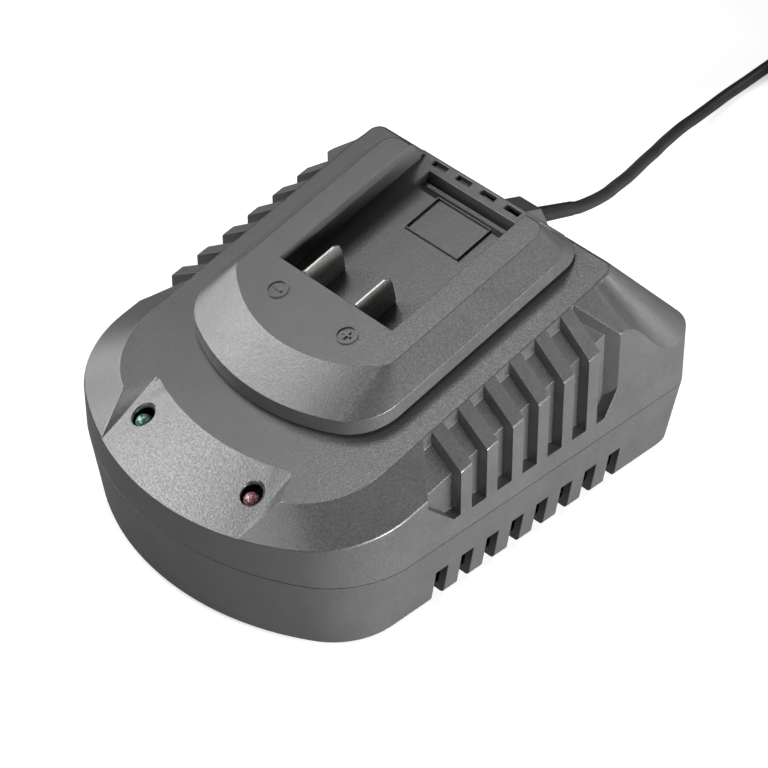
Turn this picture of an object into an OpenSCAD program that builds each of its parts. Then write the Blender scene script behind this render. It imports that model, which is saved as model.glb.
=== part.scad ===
// Mains battery charger for slide-on tool batteries.
// Millimetres. +Z is up, the nose with the lamps points to -Y and the cord leaves at +Y.
// The origin is on the ground, under the middle of the housing.

/* [Housing] */
// Width over the two side walls
body_width = 130; // [122:1:150]
// Length from the nose to the rear wall
body_length = 168; // [160:1:190]
// Thickness of both shells
wall = 2.4; // [1.8:0.1:3]
// Height at which the two shells meet
parting_height = 27.4; // [24:0.2:31]
// How far the lower side walls lean in, from the parting to the bottom
lower_lean = 4.2; // [2:0.2:7]
// The same at the nose
nose_lean = 3.4; // [2:0.2:7]
// The same at the rear
rear_lean = 2.4; // [1:0.2:5]
// Radius that softens the bottom edge
bottom_edge = 1.6; // [1:0.2:2.2]
// Height of the fold above the side walls, at mid length
fold_height = 55.5; // [53:0.5:58]
// Rise of that fold towards the rear, in degrees
fold_tilt = 11.3; // [9:0.1:13]
// Height of the deck at mid length
deck_height = 64.5; // [62:0.5:70]
// Rise of the deck and the dock towards the rear, in degrees
deck_tilt = 13.2; // [11:0.2:15]
// Width of the flat deck
deck_width = 104.6; // [100:0.2:110]
// Radius of the nose arc
nose_radius = 93; // [85:1:110]
// Radius where the nose arc turns into the sides
nose_corner = 34; // [30:1:40]
// Set-back of the deck edge behind the nose
deck_setback = 10.4; // [8:0.2:13]
// Radius of the rear corners, seen from above
rear_corner = 9; // [7:0.5:14]
// Length of the slope behind the deck
rear_run = 26; // [22:0.5:30]
// Height of the rear wall
rear_height = 48.7; // [46:0.1:51]
// Height of the fold at its lowest, in front of the rear corners
dip_height = 45.5; // [42:0.5:47]

/* [Side pockets] */
// Depth of the ribbed pockets
pocket_depth = 4.2; // [3:0.2:5.4]
// Rear end of the pocket at the side wall
pocket_rear = 47.5; // [46:0.5:52]
// Front end of the pocket at the side wall
pocket_front = -34; // [-36:0.5:-30]
// Height of the pocket's lower edge
pocket_bottom = 34.4; // [33:0.2:40]
// Number of ribs in each pocket
rib_count = 6; // [3:1:6]
// Thickness of a rib
rib_thickness = 4.7; // [3:0.1:6]
// Distance from rib to rib
rib_pitch = 10.85; // [9:0.05:11]
// Near face of the first rib
rib_start = -20.4; // [-22:0.2:-18]

/* [Side slots] */
// Number of slots in each lower wall
slot_count = 8; // [4:1:8]
// Width of a slot
slot_width = 5.1; // [3:0.1:6.5]
// Height of a slot above the ground
slot_height = 14.5; // [9:0.5:17]
// Near face of the first slot
slot_start = -28.3; // [-30:0.1:-24]
// Distance from the middle of the body to a slot's blind end
slot_reach = 53; // [51:0.5:55]

/* [Lamp panel] */
// Half width of the sunk panel
panel_half = 30.9; // [28:0.1:34]
// Set-back of the panel's upper edge behind the nose
panel_setback = 22.8; // [20:0.2:24]
// Sideways distance of each lamp
lamp_x = 24.4; // [18:0.2:25]
// Set-back of the lamps behind the nose
lamp_setback = 17.1; // [15:0.1:18]
// Diameter of a lamp
lamp_d = 5; // [3:0.1:5]
// Diameter of the hole above a lamp
lamp_hole_d = 6.8; // [6:0.1:8]

/* [Dock] */
// Width of the dock at its skirt
dock_width = 83; // [80:0.5:90]
// Front end of the dock's skirt
dock_front = -45.8; // [-47:0.2:-44]
// Distance from the dock's rear end to the rear edge of the deck
dock_setback = 1; // [0.4:0.2:2]
// Height of the dock above the deck
dock_rise = 13.7; // [12:0.1:16]
// Height of the edge between skirt and flank
skirt_rise = 6.4; // [5:0.1:8]
// Gap between skirt and deck
skirt_gap = 1.0; // [0.6:0.1:1.4]
// Thickness of the dock moulding
dock_wall = 2.2; // [1.6:0.1:2.4]
// Width of the flat top
dock_top_width = 68.2; // [66:0.2:72]
// Width of the channel between the two rails
channel_width = 49.8; // [46:0.2:52]
// Depth of the groove under each rail
rail_groove = 4.1; // [3:0.1:4.4]
// Thickness of the rail over the groove
rail_thickness = 3.4; // [2.6:0.1:4]
// Front wall of the channel
channel_front = -9.9; // [-12:0.2:-8]
// Height of the channel floor above the deck
floor_rise = 0.4; // [0.2:0.1:0.8]

/* [Latch pit] */
// Width of the latch pit
pit_width = 45.5; // [40:0.5:47]
// Distance from the latch pit's front edge to the dock's rear end
pit_setback = 11.7; // [11:0.1:13]
// Length of the latch pit
pit_length = 7.1; // [6.5:0.1:7.4]
// Depth of its shallow ledge
pit_ledge = 2.9; // [2:0.1:4]
// Depth of its deep slot
pit_depth = 6; // [4.5:0.5:7]

/* [Contact blades] */
// Place of the minus blade
minus_x = -14.6; // [-17:0.1:-12]
// Place of the plus blade
plus_x = 7.9; // [6:0.1:12]
// Thickness of a blade
blade_thickness = 0.9; // [0.6:0.1:1.2]
// Length of a blade in the channel, along its top edge
blade_reach = 13.2; // [10:0.2:16]
// Distance of a blade's top edge below the dock's top
blade_drop = 0.8; // [0.5:0.1:2]

/* [Circuit boards] */
// Width of the main board
board_width = 84; // [78:1:88]
// Length of the main board
board_length = 106; // [102:1:108]
// Height of the main board's underside
board_height = 9; // [7:0.5:12]
// Thickness of a circuit board
board_thickness = 1.6; // [1.2:0.2:2]

/* [Mains lead] */
// Diameter of the lead
cord_d = 4.4; // [4:0.1:4.8]

/* [Hidden] */
$fn = 48;

// Shared clearances
seam = 0.15;      // between pieces that fit into each other
past = 1;         // how far a cutting solid runs past the face it cuts
foot_stand = 1.0; // ground to the lower housing

// Main places of the housing
half = body_width / 2;
deck_half = deck_width / 2;
nose = -body_length / 2;
tail = body_length / 2;
deck_tail = tail - rear_run;
deck_nose_radius = nose_radius - 13;
deck_nose_corner = nose_corner - 6;
deck_rear_corner = 4;
dock_rear = deck_tail - dock_setback;
pit_front = dock_rear - pit_setback;
fall_start = pocket_rear + 0.5; // the side fold starts to fall towards the dip
fall_end = fall_start + 24;     // and rises again to the rear wall

// Angles between neighbouring faces, which set how an inner face shifts with the wall
flank_angle = atan2(deck_height - fold_height, half - deck_half);
rear_angle = atan2(deck_z(deck_tail) - rear_height, rear_run);
deck_inset = tan(flank_angle / 2);
fold_drop = tan((90 - flank_angle) / 2);
rear_inset = tan((rear_angle + deck_tilt) / 2);

function smooth(t) = let (c = min(1, max(0, t))) c * c * (3 - 2 * c);
function mix(a, b, t) = a + (b - a) * t;
function deck_z(y, rise = 0) = deck_height + rise + y * tan(deck_tilt);
function fold_z(y) =
    y < fall_end ?
        mix(fold_height + y * tan(fold_tilt), dip_height, smooth((y - fall_start) / (fall_end - fall_start))) :
        mix(dip_height, rear_height, smooth((y - fall_end) / (tail - fall_end)));

// Points on an arc. Angles are measured from -Y towards +X.
function arc(x, y, r, from, to, steps) =
    [for (i = [0:steps]) let (a = mix(from, to, i / steps)) [x + r * sin(a), y - r * cos(a)]];

function tail_of(list) = [for (i = [1:len(list) - 1]) list[i]];

// A rounded outline: nose arc, corner arcs, straight sides and a rear with small corners.
// The side has an extra point at y = turn, so that stacked outlines keep in step.
function half_outline(w, y0, r0, rc, y1, rr, turn) =
    let (
        mid = y0 + r0,
        cx = w - rc,
        lift = sqrt(pow(r0 - rc, 2) - cx * cx),
        cy = mid - lift,
        a = atan2(cx, lift)
    )
    concat(
        arc(0, mid, r0, 0, a, 12),
        tail_of(arc(cx, cy, rc, a, 90, 10)),
        [for (i = [1:4]) [w, mix(cy, turn, i / 4)]],
        [for (i = [1:7]) [w, mix(turn, y1 - rr, i / 8)]],
        arc(w - rr, y1 - rr, rr, 90, 180, 5)
    );

function outline(w, y0, r0, rc, y1, rr, turn) =
    let (side = half_outline(w, y0, r0, rc, y1, rr, turn), n = len(side))
    concat(side, [for (i = [n - 1:-1:1]) [-side[i][0], side[i][1]]]);

// Plan outline of the housing, drawn in by t
function body_outline(t) =
    outline(half - t, nose + t, nose_radius - t, nose_corner - t, tail - t, rear_corner - t, fall_start);

function level_ring(plan, z) = [for (p = plan) [p[0], p[1], z]];
function fold_ring(plan, drop) = [for (p = plan) [p[0], p[1], fold_z(p[1]) - drop]];
function deck_ring(plan, rise) = [for (p = plan) [p[0], p[1], deck_z(p[1], rise)]];

// A closed solid through a stack of rings with equal numbers of points
module loft(rings) {
    n = len(rings[0]);
    top = n * (len(rings) - 1);
    sides = [
        for (k = [0:len(rings) - 2], i = [0:n - 1])
            let (a = k * n + i, b = k * n + (i + 1) % n)
            each [[a, a + n, b], [b, a + n, b + n]]
    ];
    floor_face = [for (i = [0:n - 1]) i];
    top_face = [for (i = [n - 1:-1:0]) top + i];
    polyhedron([for (r = rings, p = r) p], concat([floor_face], sides, [top_face]));
}

// A bar along X whose section is given as [y, height above the deck] points
module deck_prism(x0, x1, section) {
    translate([x0, 0, 0])
        rotate([90, 0, 90])
            linear_extrude(x1 - x0)
                polygon([for (p = section) [p[0], deck_z(p[0], p[1])]]);
}

module deck_block(x0, x1, y0, y1, low, high) {
    deck_prism(x0, x1, [[y0, low], [y1, low], [y1, high], [y0, high]]);
}

// Children stand square on the deck at x, y
module on_deck(x, y, rise = 0) {
    translate([x, y, deck_z(y, rise)])
        rotate([deck_tilt, 0, 0])
            children();
}

module both_sides() {
    children();
    mirror([1, 0, 0]) children();
}

module at_each(places) {
    for (p = places) translate(p) children();
}

// ---- Housing forms ----

// Outer form of the upper shell, drawn in by t. Its foot reaches down to z = base.
module upper_form(t, base) {
    fold_plan = body_outline(t);
    deck_plan = outline(
        deck_half - t * deck_inset, nose + deck_setback + t * deck_inset, deck_nose_radius - t,
        deck_nose_corner - t, deck_tail - t * rear_inset, deck_rear_corner, fall_start
    );
    loft([
        level_ring(fold_plan, base),
        fold_ring(fold_plan, t * fold_drop),
        deck_ring(deck_plan, -t / cos(deck_tilt))
    ]);
}

// Body with the flatter nose that shows as the lamp panel
panel_radius = nose_radius - 7;
panel_rise = deck_z(nose + panel_setback) - fold_z(nose);
panel_pitch = atan2(panel_rise, panel_setback);

module panel_form(t, base) {
    fold_plan = body_outline(t);
    upper_plan = outline(
        deck_half, nose + panel_setback + t * tan((panel_pitch - deck_tilt) / 2), panel_radius,
        deck_nose_corner, deck_tail, deck_rear_corner, fall_start
    );
    loft([
        level_ring(fold_plan, base),
        fold_ring(fold_plan, t * tan((90 - panel_pitch) / 2)),
        deck_ring(upper_plan, -t / cos(deck_tilt))
    ]);
}

// Trough with leaning sides that the panel is sunk into
panel_side_y = nose + nose_radius - sqrt(pow(nose_radius, 2) - pow(panel_half, 2));
panel_top_y = nose + panel_setback + panel_radius - sqrt(pow(panel_radius, 2) - pow(panel_half, 2));
trough_pitch = atan2(deck_z(panel_top_y) - fold_z(panel_side_y), panel_top_y - panel_side_y);
trough_lean = 28;  // slope of the trough's sides, in degrees
trough_height = 12;

module panel_trough(grow) {
    reach = trough_height / tan(trough_lean);
    translate([0, panel_side_y, fold_z(panel_side_y)])
        rotate([90 + trough_pitch, 0, 0])
            translate([0, 0, -60])
                linear_extrude(90)
                    polygon([
                        [-panel_half - grow, -grow],
                        [panel_half + grow, -grow],
                        [panel_half + reach + grow, trough_height],
                        [-panel_half - reach - grow, trough_height]
                    ]);
}

// ---- Side pockets ----

pocket_end_shift = 7.8; // the rear end slants back by this much from deck edge to wall
pocket_nose_shift = 10; // the front end slants forward by this much
pocket_corner = 11;     // height of the slanted lower corners
pocket_mid_y = (pocket_front + pocket_rear) / 2;
pocket_fall = deck_z(pocket_mid_y) - fold_z(pocket_mid_y);

// The pocket's room on the +X side, grown inwards by t
module pocket(t) {
    depth = pocket_depth + t;
    x0 = deck_half - t;
    x1 = half - depth;
    drop0 = depth / cos(flank_angle);
    drop1 = drop0 + pocket_fall * (x1 - x0) / (half - deck_half);
    out = half + 5;
    low = pocket_bottom - t;
    y0 = pocket_front - t;
    y1 = pocket_rear + t;
    intersection() {
        translate([0, 0, deck_z(0)])
            rotate([deck_tilt, 0, 0])
                rotate([90, 0, 0])
                    translate([0, 0, -70])
                        linear_extrude(130)
                            polygon([
                                [x0, 8], [x0, -drop0 * cos(deck_tilt)], [x1, -drop1 * cos(deck_tilt)],
                                [x1, -60], [out, -60], [out, 8]
                            ]);
        translate([0, 0, low])
            linear_extrude(90)
                polygon([
                    [x0 - 1, y0 + pocket_nose_shift + 1], [half, y0], [out, y0 - 3],
                    [out, y1 + 3], [half, y1], [x0 - 1, y1 - pocket_end_shift - 1]
                ]);
        translate([x0 - 1, 0, 0])
            rotate([90, 0, 90])
                linear_extrude(out - x0)
                    polygon([
                        [y0 + pocket_corner, low], [y1 - pocket_corner / 2, low],
                        [y1 + 1, low + pocket_corner], [y1 + 1, 110],
                        [y0, 110], [y0, low + pocket_corner]
                    ]);
    }
}

module ribs() {
    for (i = [0:rib_count - 1])
        translate([deck_half - past, rib_start + i * rib_pitch, 0])
            cube([half, rib_thickness, 110]);
}

// ---- Screws and their posts ----

screw_front = nose + 40;
screw_rear = tail - 16;
housing_screw_places = [[-50, screw_front], [50, screw_front], [-53, screw_rear], [53, screw_rear]];
post_top = 20;
screw_seat = 14;
screw_d = 3;
screw_head_d = 6.4;
screw_head_h = 2.4;
screw_length = 20;
screw_hole_d = screw_d + 2 * seam;
post_d = 10;
boss_d = 8;

// Pan head screw. The underside of its head is at z = 0 and its shank points up.
module screw(d, head_d, head_h, length) {
    difference() {
        union() {
            translate([0, 0, -head_h]) cylinder(d = head_d, h = head_h);
            translate([0, 0, -0.01]) cylinder(d = d, h = length);
        }
        for (a = [0, 90])
            rotate([0, 0, a])
                translate([-head_d * 0.3, -head_d * 0.06, -head_h - past])
                    cube([head_d * 0.6, head_d * 0.12, past + head_h * 0.5]);
    }
}

// ---- Cord exit ----

relief_setback = 5.7; // rear wall to the place where the lead leaves the hood
relief_drop = 19.9;   // deck's rear edge down to that place
relief_root = [0, tail - relief_setback, deck_z(deck_tail) - relief_drop];
relief_pitch = -20;
relief_d0 = cord_d + 1;
relief_d1 = cord_d + 0.4;
relief_length = 18;
hood_width = 9.6;
hood_height = 10.8;
hood_depth = 20.6;
hood_lean = 5.1; // how far the rear face leans back from top to middle

// Children are placed at the cord exit with their z axis along the cord, pointing out
module at_exit() {
    translate(relief_root) rotate([relief_pitch - 90, 0, 0]) children();
}

// Place in the YZ plane at distance s along the cord's exit and h above it
function exit_point(s, h) = [
    relief_root[1] + s * cos(relief_pitch) - h * sin(relief_pitch),
    relief_root[2] + s * sin(relief_pitch) + h * cos(relief_pitch)
];

module hood_block() {
    translate([-hood_width / 2, 0, 0])
        rotate([90, 0, 90])
            linear_extrude(hood_width)
                polygon([
                    exit_point(-hood_depth, -hood_height / 2), exit_point(0, -hood_height / 2 - 3.5),
                    exit_point(hood_lean * 0.8, -hood_height * 0.4), exit_point(-hood_lean, hood_height / 2),
                    exit_point(-hood_depth, hood_height / 2)
                ]);
}

// ---- Lower housing ----

foot_x = 38;
foot_front = nose + 24;
foot_rear = tail - 14;
foot_places = [[-foot_x, foot_front], [foot_x, foot_front], [-foot_x, foot_rear], [foot_x, foot_rear]];
foot_d = 12;
foot_sink = 0.8;
board_hole_x = board_width / 2 - 4;
board_y0 = -44;
board_y1 = board_y0 + board_length;
board_holes = [
    for (x = [-board_hole_x, board_hole_x], y = [board_y0 + 4, board_y1 - 4]) [x, y]
];
lip_height = 2.4;
lip_thickness = 1.2;

corner_lean = 8; // how much tighter the nose corners get towards the bottom

// Plan outline of the lower housing, drawn in by t. The share of the lean is 1 at the bottom.
function lower_outline(share, t) =
    outline(
        half - lower_lean * share - t, nose + nose_lean * share + t, nose_radius - nose_lean * share - t,
        nose_corner - corner_lean * share - t, tail - rear_lean * share - t, rear_corner - share - t,
        fall_start
    );

module lower_form(t) {
    loft([
        level_ring(lower_outline(1, bottom_edge + t), foot_stand + t),
        level_ring(lower_outline(1, bottom_edge * 0.3 + t), foot_stand + t + bottom_edge * 0.3),
        level_ring(lower_outline(0.94, t), foot_stand + t + bottom_edge),
        level_ring(lower_outline(0, t), parting_height)
    ]);
}

module lower_housing() {
    color([0.30, 0.30, 0.31])
    difference() {
        union() {
            difference() {
                lower_form(0);
                lower_form(wall);
                translate([0, 0, parting_height - 0.01])
                    linear_extrude(past) polygon(body_outline(wall));
            }
            // Lip that centres the upper shell
            translate([0, 0, parting_height - 3])
                difference() {
                    linear_extrude(3 + lip_height) polygon(body_outline(wall + seam));
                    translate([0, 0, -past])
                        linear_extrude(5 + lip_height) polygon(body_outline(wall + seam + lip_thickness));
                }
            at_each(housing_screw_places)
                translate([0, 0, foot_stand + wall / 2])
                    cylinder(d = post_d, h = post_top - foot_stand - wall / 2);
            at_each(board_holes)
                translate([0, 0, foot_stand + wall / 2])
                    cylinder(d = 7, h = board_height - foot_stand - wall / 2);
        }
        at_each(housing_screw_places) {
            translate([0, 0, -past]) cylinder(d = screw_hole_d, h = post_top + 2 * past);
            translate([0, 0, -past]) cylinder(d = screw_head_d + 0.8, h = screw_seat + past);
        }
        at_each(board_holes)
            translate([0, 0, foot_stand + wall]) cylinder(d = 2.6, h = board_height);
        at_each(foot_places)
            translate([0, 0, -past]) cylinder(d = foot_d, h = foot_stand + foot_sink + past);
        both_sides()
            for (i = [0:slot_count - 1])
                translate([slot_reach, slot_start + i * rib_pitch, -past])
                    cube([half, slot_width, slot_height + past]);
    }
}

// ---- Upper housing ----

opening_half = 31.3;
opening_front = -30;
opening_tail = pit_front + pit_length + 1.5;
tongue_depth = 1.1;
nose_opening_half = 21;
rear_slot_places = [for (i = [-2:2]) i * 10.7];
rear_slot_width = 6.2;
rear_slot_y = opening_tail + 1;
rear_slot_length = 2;
dock_screw_front = channel_front - 12.1;
dock_screw_rear = dock_rear - 21;
dock_screw_places = [
    [-28.5, dock_screw_front], [28.5, dock_screw_front], [-34.4, dock_screw_rear], [34.4, dock_screw_rear]
];
lamp_y = nose + lamp_setback;
lamp_arc_y = nose + nose_radius - sqrt(pow(nose_radius, 2) - pow(lamp_x, 2));
lamp_board_z = 33.8;
lamp_post_places = [[-12, lamp_y + 1], [12, lamp_y + 1]];
panel_z = fold_z(lamp_arc_y) + (lamp_y - lamp_arc_y) * tan(panel_pitch);
lamp_post_d = 5;
lamp_post_reach = 20;
lamp_pilot_d = 2.3;
lamp_pilot_depth = 8;
lamp_hole_reach = 30;
boss_reach = 80; // a boss stops at the deck above it
room_drop = 12;  // depth of the deck's cut-outs below the deck
room_rise = 3;

module lamp_holes() {
    for (side = [-1, 1]) {
        turn = side * asin(lamp_x / nose_radius);
        translate([side * lamp_x, lamp_y, lamp_board_z + board_thickness])
            cylinder(d = lamp_hole_d, h = lamp_hole_reach);
        translate([side * lamp_x, lamp_y, panel_z])
            rotate([0, 0, turn])
                rotate([panel_pitch, 0, 0])
                    translate([0, 0, -0.5]) cylinder(d1 = lamp_hole_d + 0.6, d2 = lamp_hole_d + 2.6, h = 1);
    }
}

module upper_housing() {
    color([0.34, 0.34, 0.35])
    difference() {
        union() {
            difference() {
                upper_form(0, parting_height);
                // Inside
                difference() {
                    upper_form(wall, parting_height - past);
                    both_sides() pocket(wall);
                    difference() {
                        panel_trough(wall);
                        panel_form(wall, parting_height - 2);
                    }
                }
                // Pockets between the ribs
                both_sides()
                    difference() {
                        pocket(0);
                        ribs();
                    }
                // Sunk lamp panel
                difference() {
                    panel_trough(0);
                    panel_form(0, parting_height - 2);
                }
            }
            hood_block();
            intersection() {
                upper_form(wall / 2, post_top);
                at_each(housing_screw_places)
                    translate([0, 0, post_top]) cylinder(d = boss_d, h = boss_reach);
            }
            intersection() {
                panel_form(wall / 2, parting_height);
                at_each(lamp_post_places)
                    translate([0, 0, lamp_board_z + board_thickness])
                        cylinder(d = lamp_post_d, h = lamp_post_reach);
            }
        }
        at_each(housing_screw_places)
            translate([0, 0, post_top - past]) cylinder(d = screw_hole_d, h = screw_length - 3);
        at_each(lamp_post_places)
            translate([0, 0, lamp_board_z]) cylinder(d = lamp_pilot_d, h = lamp_pilot_depth);
        // Room for the dock's floor, its pit and the terminals
        deck_block(-opening_half, opening_half, channel_front - dock_wall - seam, opening_tail,
            -room_drop, room_rise);
        deck_block(-nose_opening_half, nose_opening_half, opening_front, 0, -room_drop, room_rise);
        deck_block(-opening_half, opening_half, opening_tail - 1, deck_tail + 4,
            -tongue_depth - seam, room_rise);
        for (x = rear_slot_places)
            deck_block(x - rear_slot_width / 2, x + rear_slot_width / 2, rear_slot_y,
                rear_slot_y + rear_slot_length, -9, 3);
        for (p = dock_screw_places)
            on_deck(p[0], p[1]) translate([0, 0, -8]) cylinder(d = screw_hole_d, h = 12);
        lamp_holes();
        at_exit()
            translate([0, 0, -hood_depth - past])
                cylinder(d = relief_d0 + 2 * seam, h = hood_depth + hood_lean + 2 * past);
    }
}

// ---- Cord clamp under the latch pit ----

clamp_x = 8;
clamp_y = pit_front + 3.7;
clamp_drop = 11.8; // deck down to the place where the clamp meets its two bosses
clamp_z = deck_z(clamp_y) - clamp_drop;
clamp_bar = 3.4;   // thickness of the clamp
clamp_length = 7;
clamp_bite = 4.4;  // how far the screws reach into the bosses
clamp_places = [[-clamp_x, clamp_y], [clamp_x, clamp_y]];

// ---- Battery dock ----

dock_half = dock_width / 2;
dock_radius = 74;
dock_corner = 18;
skirt_tail = dock_rear - 5.5;
top_tail = dock_rear - 10.3;
top_front = dock_front + 12.8;
channel_half = channel_width / 2;
neck_inset = 2;
floor_thickness = 2.5;
dock_post_d = 7;
sign_places = [[-15.3, -19.4], [15.3, -19.4]];
sign_d = 7;
sign_depth = 0.5;

function dock_plan(t, y1) =
    outline(dock_half - t, dock_front + t, dock_radius - t, dock_corner - t, y1 - t, 9 - t, 20);

module dock_form(t) {
    top_plan = outline(
        dock_top_width / 2 - t * 0.4, top_front + t * 0.4, 50, 6, top_tail - t * 0.4, 5, 20
    );
    loft([
        deck_ring(dock_plan(t, dock_rear), t > 0 ? -past : skirt_gap),
        deck_ring(dock_plan(t, skirt_tail), skirt_rise - t * 0.4),
        deck_ring(top_plan, dock_rise - t)
    ]);
}

module sign_ring() {
    difference() {
        cylinder(d = sign_d, h = sign_depth * 2);
        translate([0, 0, -past]) cylinder(d = sign_d - 1.1, h = 2 * past + sign_depth);
    }
}

module sign_bar(turn) {
    rotate([0, 0, turn]) translate([-1.7, -0.4, 0]) cube([3.4, 0.8, sign_depth * 2]);
}

module battery_dock() {
    rail_rise = dock_rise - rail_thickness;
    pit_tail = pit_front + pit_length;
    slot_front = pit_tail - 2;
    frame_x = 11.6;
    color([0.36, 0.36, 0.37])
    difference() {
        union() {
            difference() {
                union() {
                    dock_form(0);
                    loft([
                        deck_ring(dock_plan(neck_inset, dock_rear), 0),
                        deck_ring(dock_plan(neck_inset, dock_rear), skirt_gap + 1)
                    ]);
                }
                // Hollow nose, in front of the channel
                intersection() {
                    dock_form(dock_wall + neck_inset / 2);
                    deck_block(-dock_half, dock_half, dock_front, channel_front - dock_wall, -2, dock_rise);
                }
                // Hollow rails
                both_sides()
                    deck_block(channel_half + rail_groove + dock_wall, dock_half - neck_inset - dock_wall,
                        channel_front, 44, -past, skirt_rise);
                deck_block(-channel_half - rail_groove, channel_half + rail_groove, channel_front, 70,
                    -past, floor_rise + 1);
            }
            deck_block(-opening_half + seam, opening_half - seam, channel_front - dock_wall,
                opening_tail - 2 * seam, floor_rise - floor_thickness, floor_rise);
            deck_block(-opening_half + seam, opening_half - seam, opening_tail - 1.5, deck_tail,
                -tongue_depth, floor_rise);
            deck_block(-pit_width / 2 - 1.5, pit_width / 2 + 1.5, pit_front - 1.4, opening_tail - 2 * seam,
                -pit_depth - 1.4, -1);
            // Bosses that hang from the pit and hold the cord clamp
            intersection() {
                at_each(clamp_places) translate([0, 0, clamp_z]) cylinder(d = 6, h = 12);
                deck_block(-pit_width / 2, pit_width / 2, pit_front, opening_tail - 1, -20, -pit_depth - 0.7);
            }
            // Posts for the fixing screws
            for (p = dock_screw_places)
                intersection() {
                    on_deck(p[0], p[1]) cylinder(d = dock_post_d, h = dock_rise);
                    dock_form(dock_wall / 2);
                }
        }
        // Channel and the grooves under its rails
        deck_block(-channel_half, channel_half, channel_front, 70, floor_rise, dock_rise + 6);
        deck_block(-channel_half - rail_groove, channel_half + rail_groove, channel_front, 70,
            floor_rise, rail_rise);
        // Latch pit: sloping front, ledge and deep slot
        deck_prism(-pit_width / 2, pit_width / 2, [
            [pit_front, floor_rise + past], [pit_front, floor_rise], [slot_front - 2.6, -pit_ledge],
            [slot_front, -pit_ledge], [slot_front, -pit_depth], [pit_tail, -pit_depth],
            [pit_tail, floor_rise + past]
        ]);
        for (x = rear_slot_places)
            deck_block(x - rear_slot_width / 2, x + rear_slot_width / 2, rear_slot_y,
                rear_slot_y + rear_slot_length, -4, 3);
        // Frame line moulded into the floor, in front of the pit
        difference() {
            deck_block(-frame_x, frame_x, pit_front - 14.6, pit_front + 0.3,
                floor_rise - 0.5, floor_rise + 1);
            deck_block(-frame_x + 0.6, frame_x - 0.6, pit_front - 14, pit_front - 0.3,
                floor_rise - 1, floor_rise + 2);
        }
        // Slots for the blades
        for (x = [minus_x, plus_x])
            deck_block(x - blade_thickness / 2 - seam / 2, x + blade_thickness / 2 + seam / 2,
                channel_front - dock_wall - past, channel_front + past,
                floor_rise, dock_rise - blade_drop + seam);
        for (p = dock_screw_places)
            on_deck(p[0], p[1]) translate([0, 0, -past]) cylinder(d = 2.9, h = 8.5);
        at_each(clamp_places) translate([0, 0, clamp_z - past]) cylinder(d = 2.7, h = clamp_bite + past);
        // Minus and plus signs
        for (p = sign_places)
            on_deck(p[0], p[1], dock_rise) translate([0, 0, -sign_depth]) {
                sign_ring();
                sign_bar(0);
            }
        on_deck(sign_places[1][0], sign_places[1][1], dock_rise)
            translate([0, 0, -sign_depth]) sign_bar(90);
    }
}

// ---- Contacts ----

block_front = -24;
block_top = dock_rise - dock_wall - 1.4;

module blade(x) {
    low = floor_rise + 0.1;
    high = dock_rise - blade_drop;
    tip = channel_front + blade_reach;
    root = channel_front - dock_wall;
    deck_prism(x - blade_thickness / 2, x + blade_thickness / 2, [
        [block_front - 3, -7], [block_front - 0.2, -7], [block_front - 0.2, 3], [root, 3],
        [root, low], [tip + 4.2, low], [tip + 3.2, low + 4], [tip + 0.8, high - 0.6],
        [tip, high], [root, high], [root, 8], [block_front - 3, 8]
    ]);
}

module minus_blade() {
    color([0.82, 0.82, 0.80]) blade(minus_x);
}

module plus_blade() {
    color([0.82, 0.82, 0.80]) blade(plus_x);
}

module terminal_block() {
    color([0.12, 0.12, 0.13])
    difference() {
        deck_block(minus_x - 5, plus_x + 5, block_front, channel_front - dock_wall, 1, block_top);
        for (x = [minus_x, plus_x])
            deck_block(x - blade_thickness / 2 - seam / 2, x + blade_thickness / 2 + seam / 2,
                block_front - past, channel_front, -past, dock_rise);
        // Lightening pocket between the blades
        deck_block(minus_x + 3, plus_x - 3, block_front + 2, channel_front - dock_wall - 2, -past, block_top - 2);
    }
}

// ---- Indicator lamps ----

lamp_top = panel_z - 2.2;

module lamp(x) {
    base = lamp_board_z + board_thickness;
    r = lamp_d / 2;
    shoulder = lamp_top - base - r;
    dome = [for (i = [0:8]) [r * cos(i * 11.25), shoulder + r * sin(i * 11.25)]];
    translate([x, lamp_y, base])
        rotate_extrude()
            polygon(concat([[0, 0], [r + 0.4, 0], [r + 0.4, 1], [r, 1]], dome));
}

module green_lamp() {
    color([0.10, 0.45, 0.28]) lamp(-lamp_x);
}

module red_lamp() {
    color([0.62, 0.20, 0.22]) lamp(lamp_x);
}

module lamp_board() {
    color([0.10, 0.38, 0.22])
    difference() {
        translate([-lamp_x - 6, lamp_y - 5, lamp_board_z])
            cube([2 * lamp_x + 12, 11, board_thickness]);
        at_each(lamp_post_places)
            translate([0, 0, lamp_board_z - past]) cylinder(d = 2.6, h = board_thickness + 2 * past);
    }
}

lamp_screw_d = 2;
lamp_screw_length = 7;

module lamp_board_screws() {
    color([0.75, 0.75, 0.76])
    at_each(lamp_post_places)
        translate([0, 0, lamp_board_z]) screw(lamp_screw_d, 2 * lamp_screw_d, 1.5, lamp_screw_length);
}

// ---- Main board and what stands on it ----

board_top = board_height + board_thickness;

module on_board(x, y) {
    translate([x, y, board_top]) children();
}

module main_board() {
    color([0.10, 0.38, 0.22])
    difference() {
        translate([-board_width / 2, board_y0, board_height])
            cube([board_width, board_length, board_thickness]);
        at_each(board_holes)
            translate([0, 0, board_height - past]) cylinder(d = 3.2, h = board_thickness + 2 * past);
    }
}

board_screw_d = 2.5;
board_screw_length = 6.5;

module board_screws() {
    color([0.75, 0.75, 0.76])
    at_each(board_holes)
        translate([0, 0, board_top])
            mirror([0, 0, 1]) screw(board_screw_d, 2 * board_screw_d, 1.8, board_screw_length);
}

fuse_place = [-22, 50];
fuse_z = 5;

module mains_fuse() {
    color([0.80, 0.82, 0.80])
    on_board(fuse_place[0], fuse_place[1])
        translate([-10, 0, fuse_z]) rotate([0, 90, 0]) cylinder(d = 5, h = 20);
}

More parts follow.
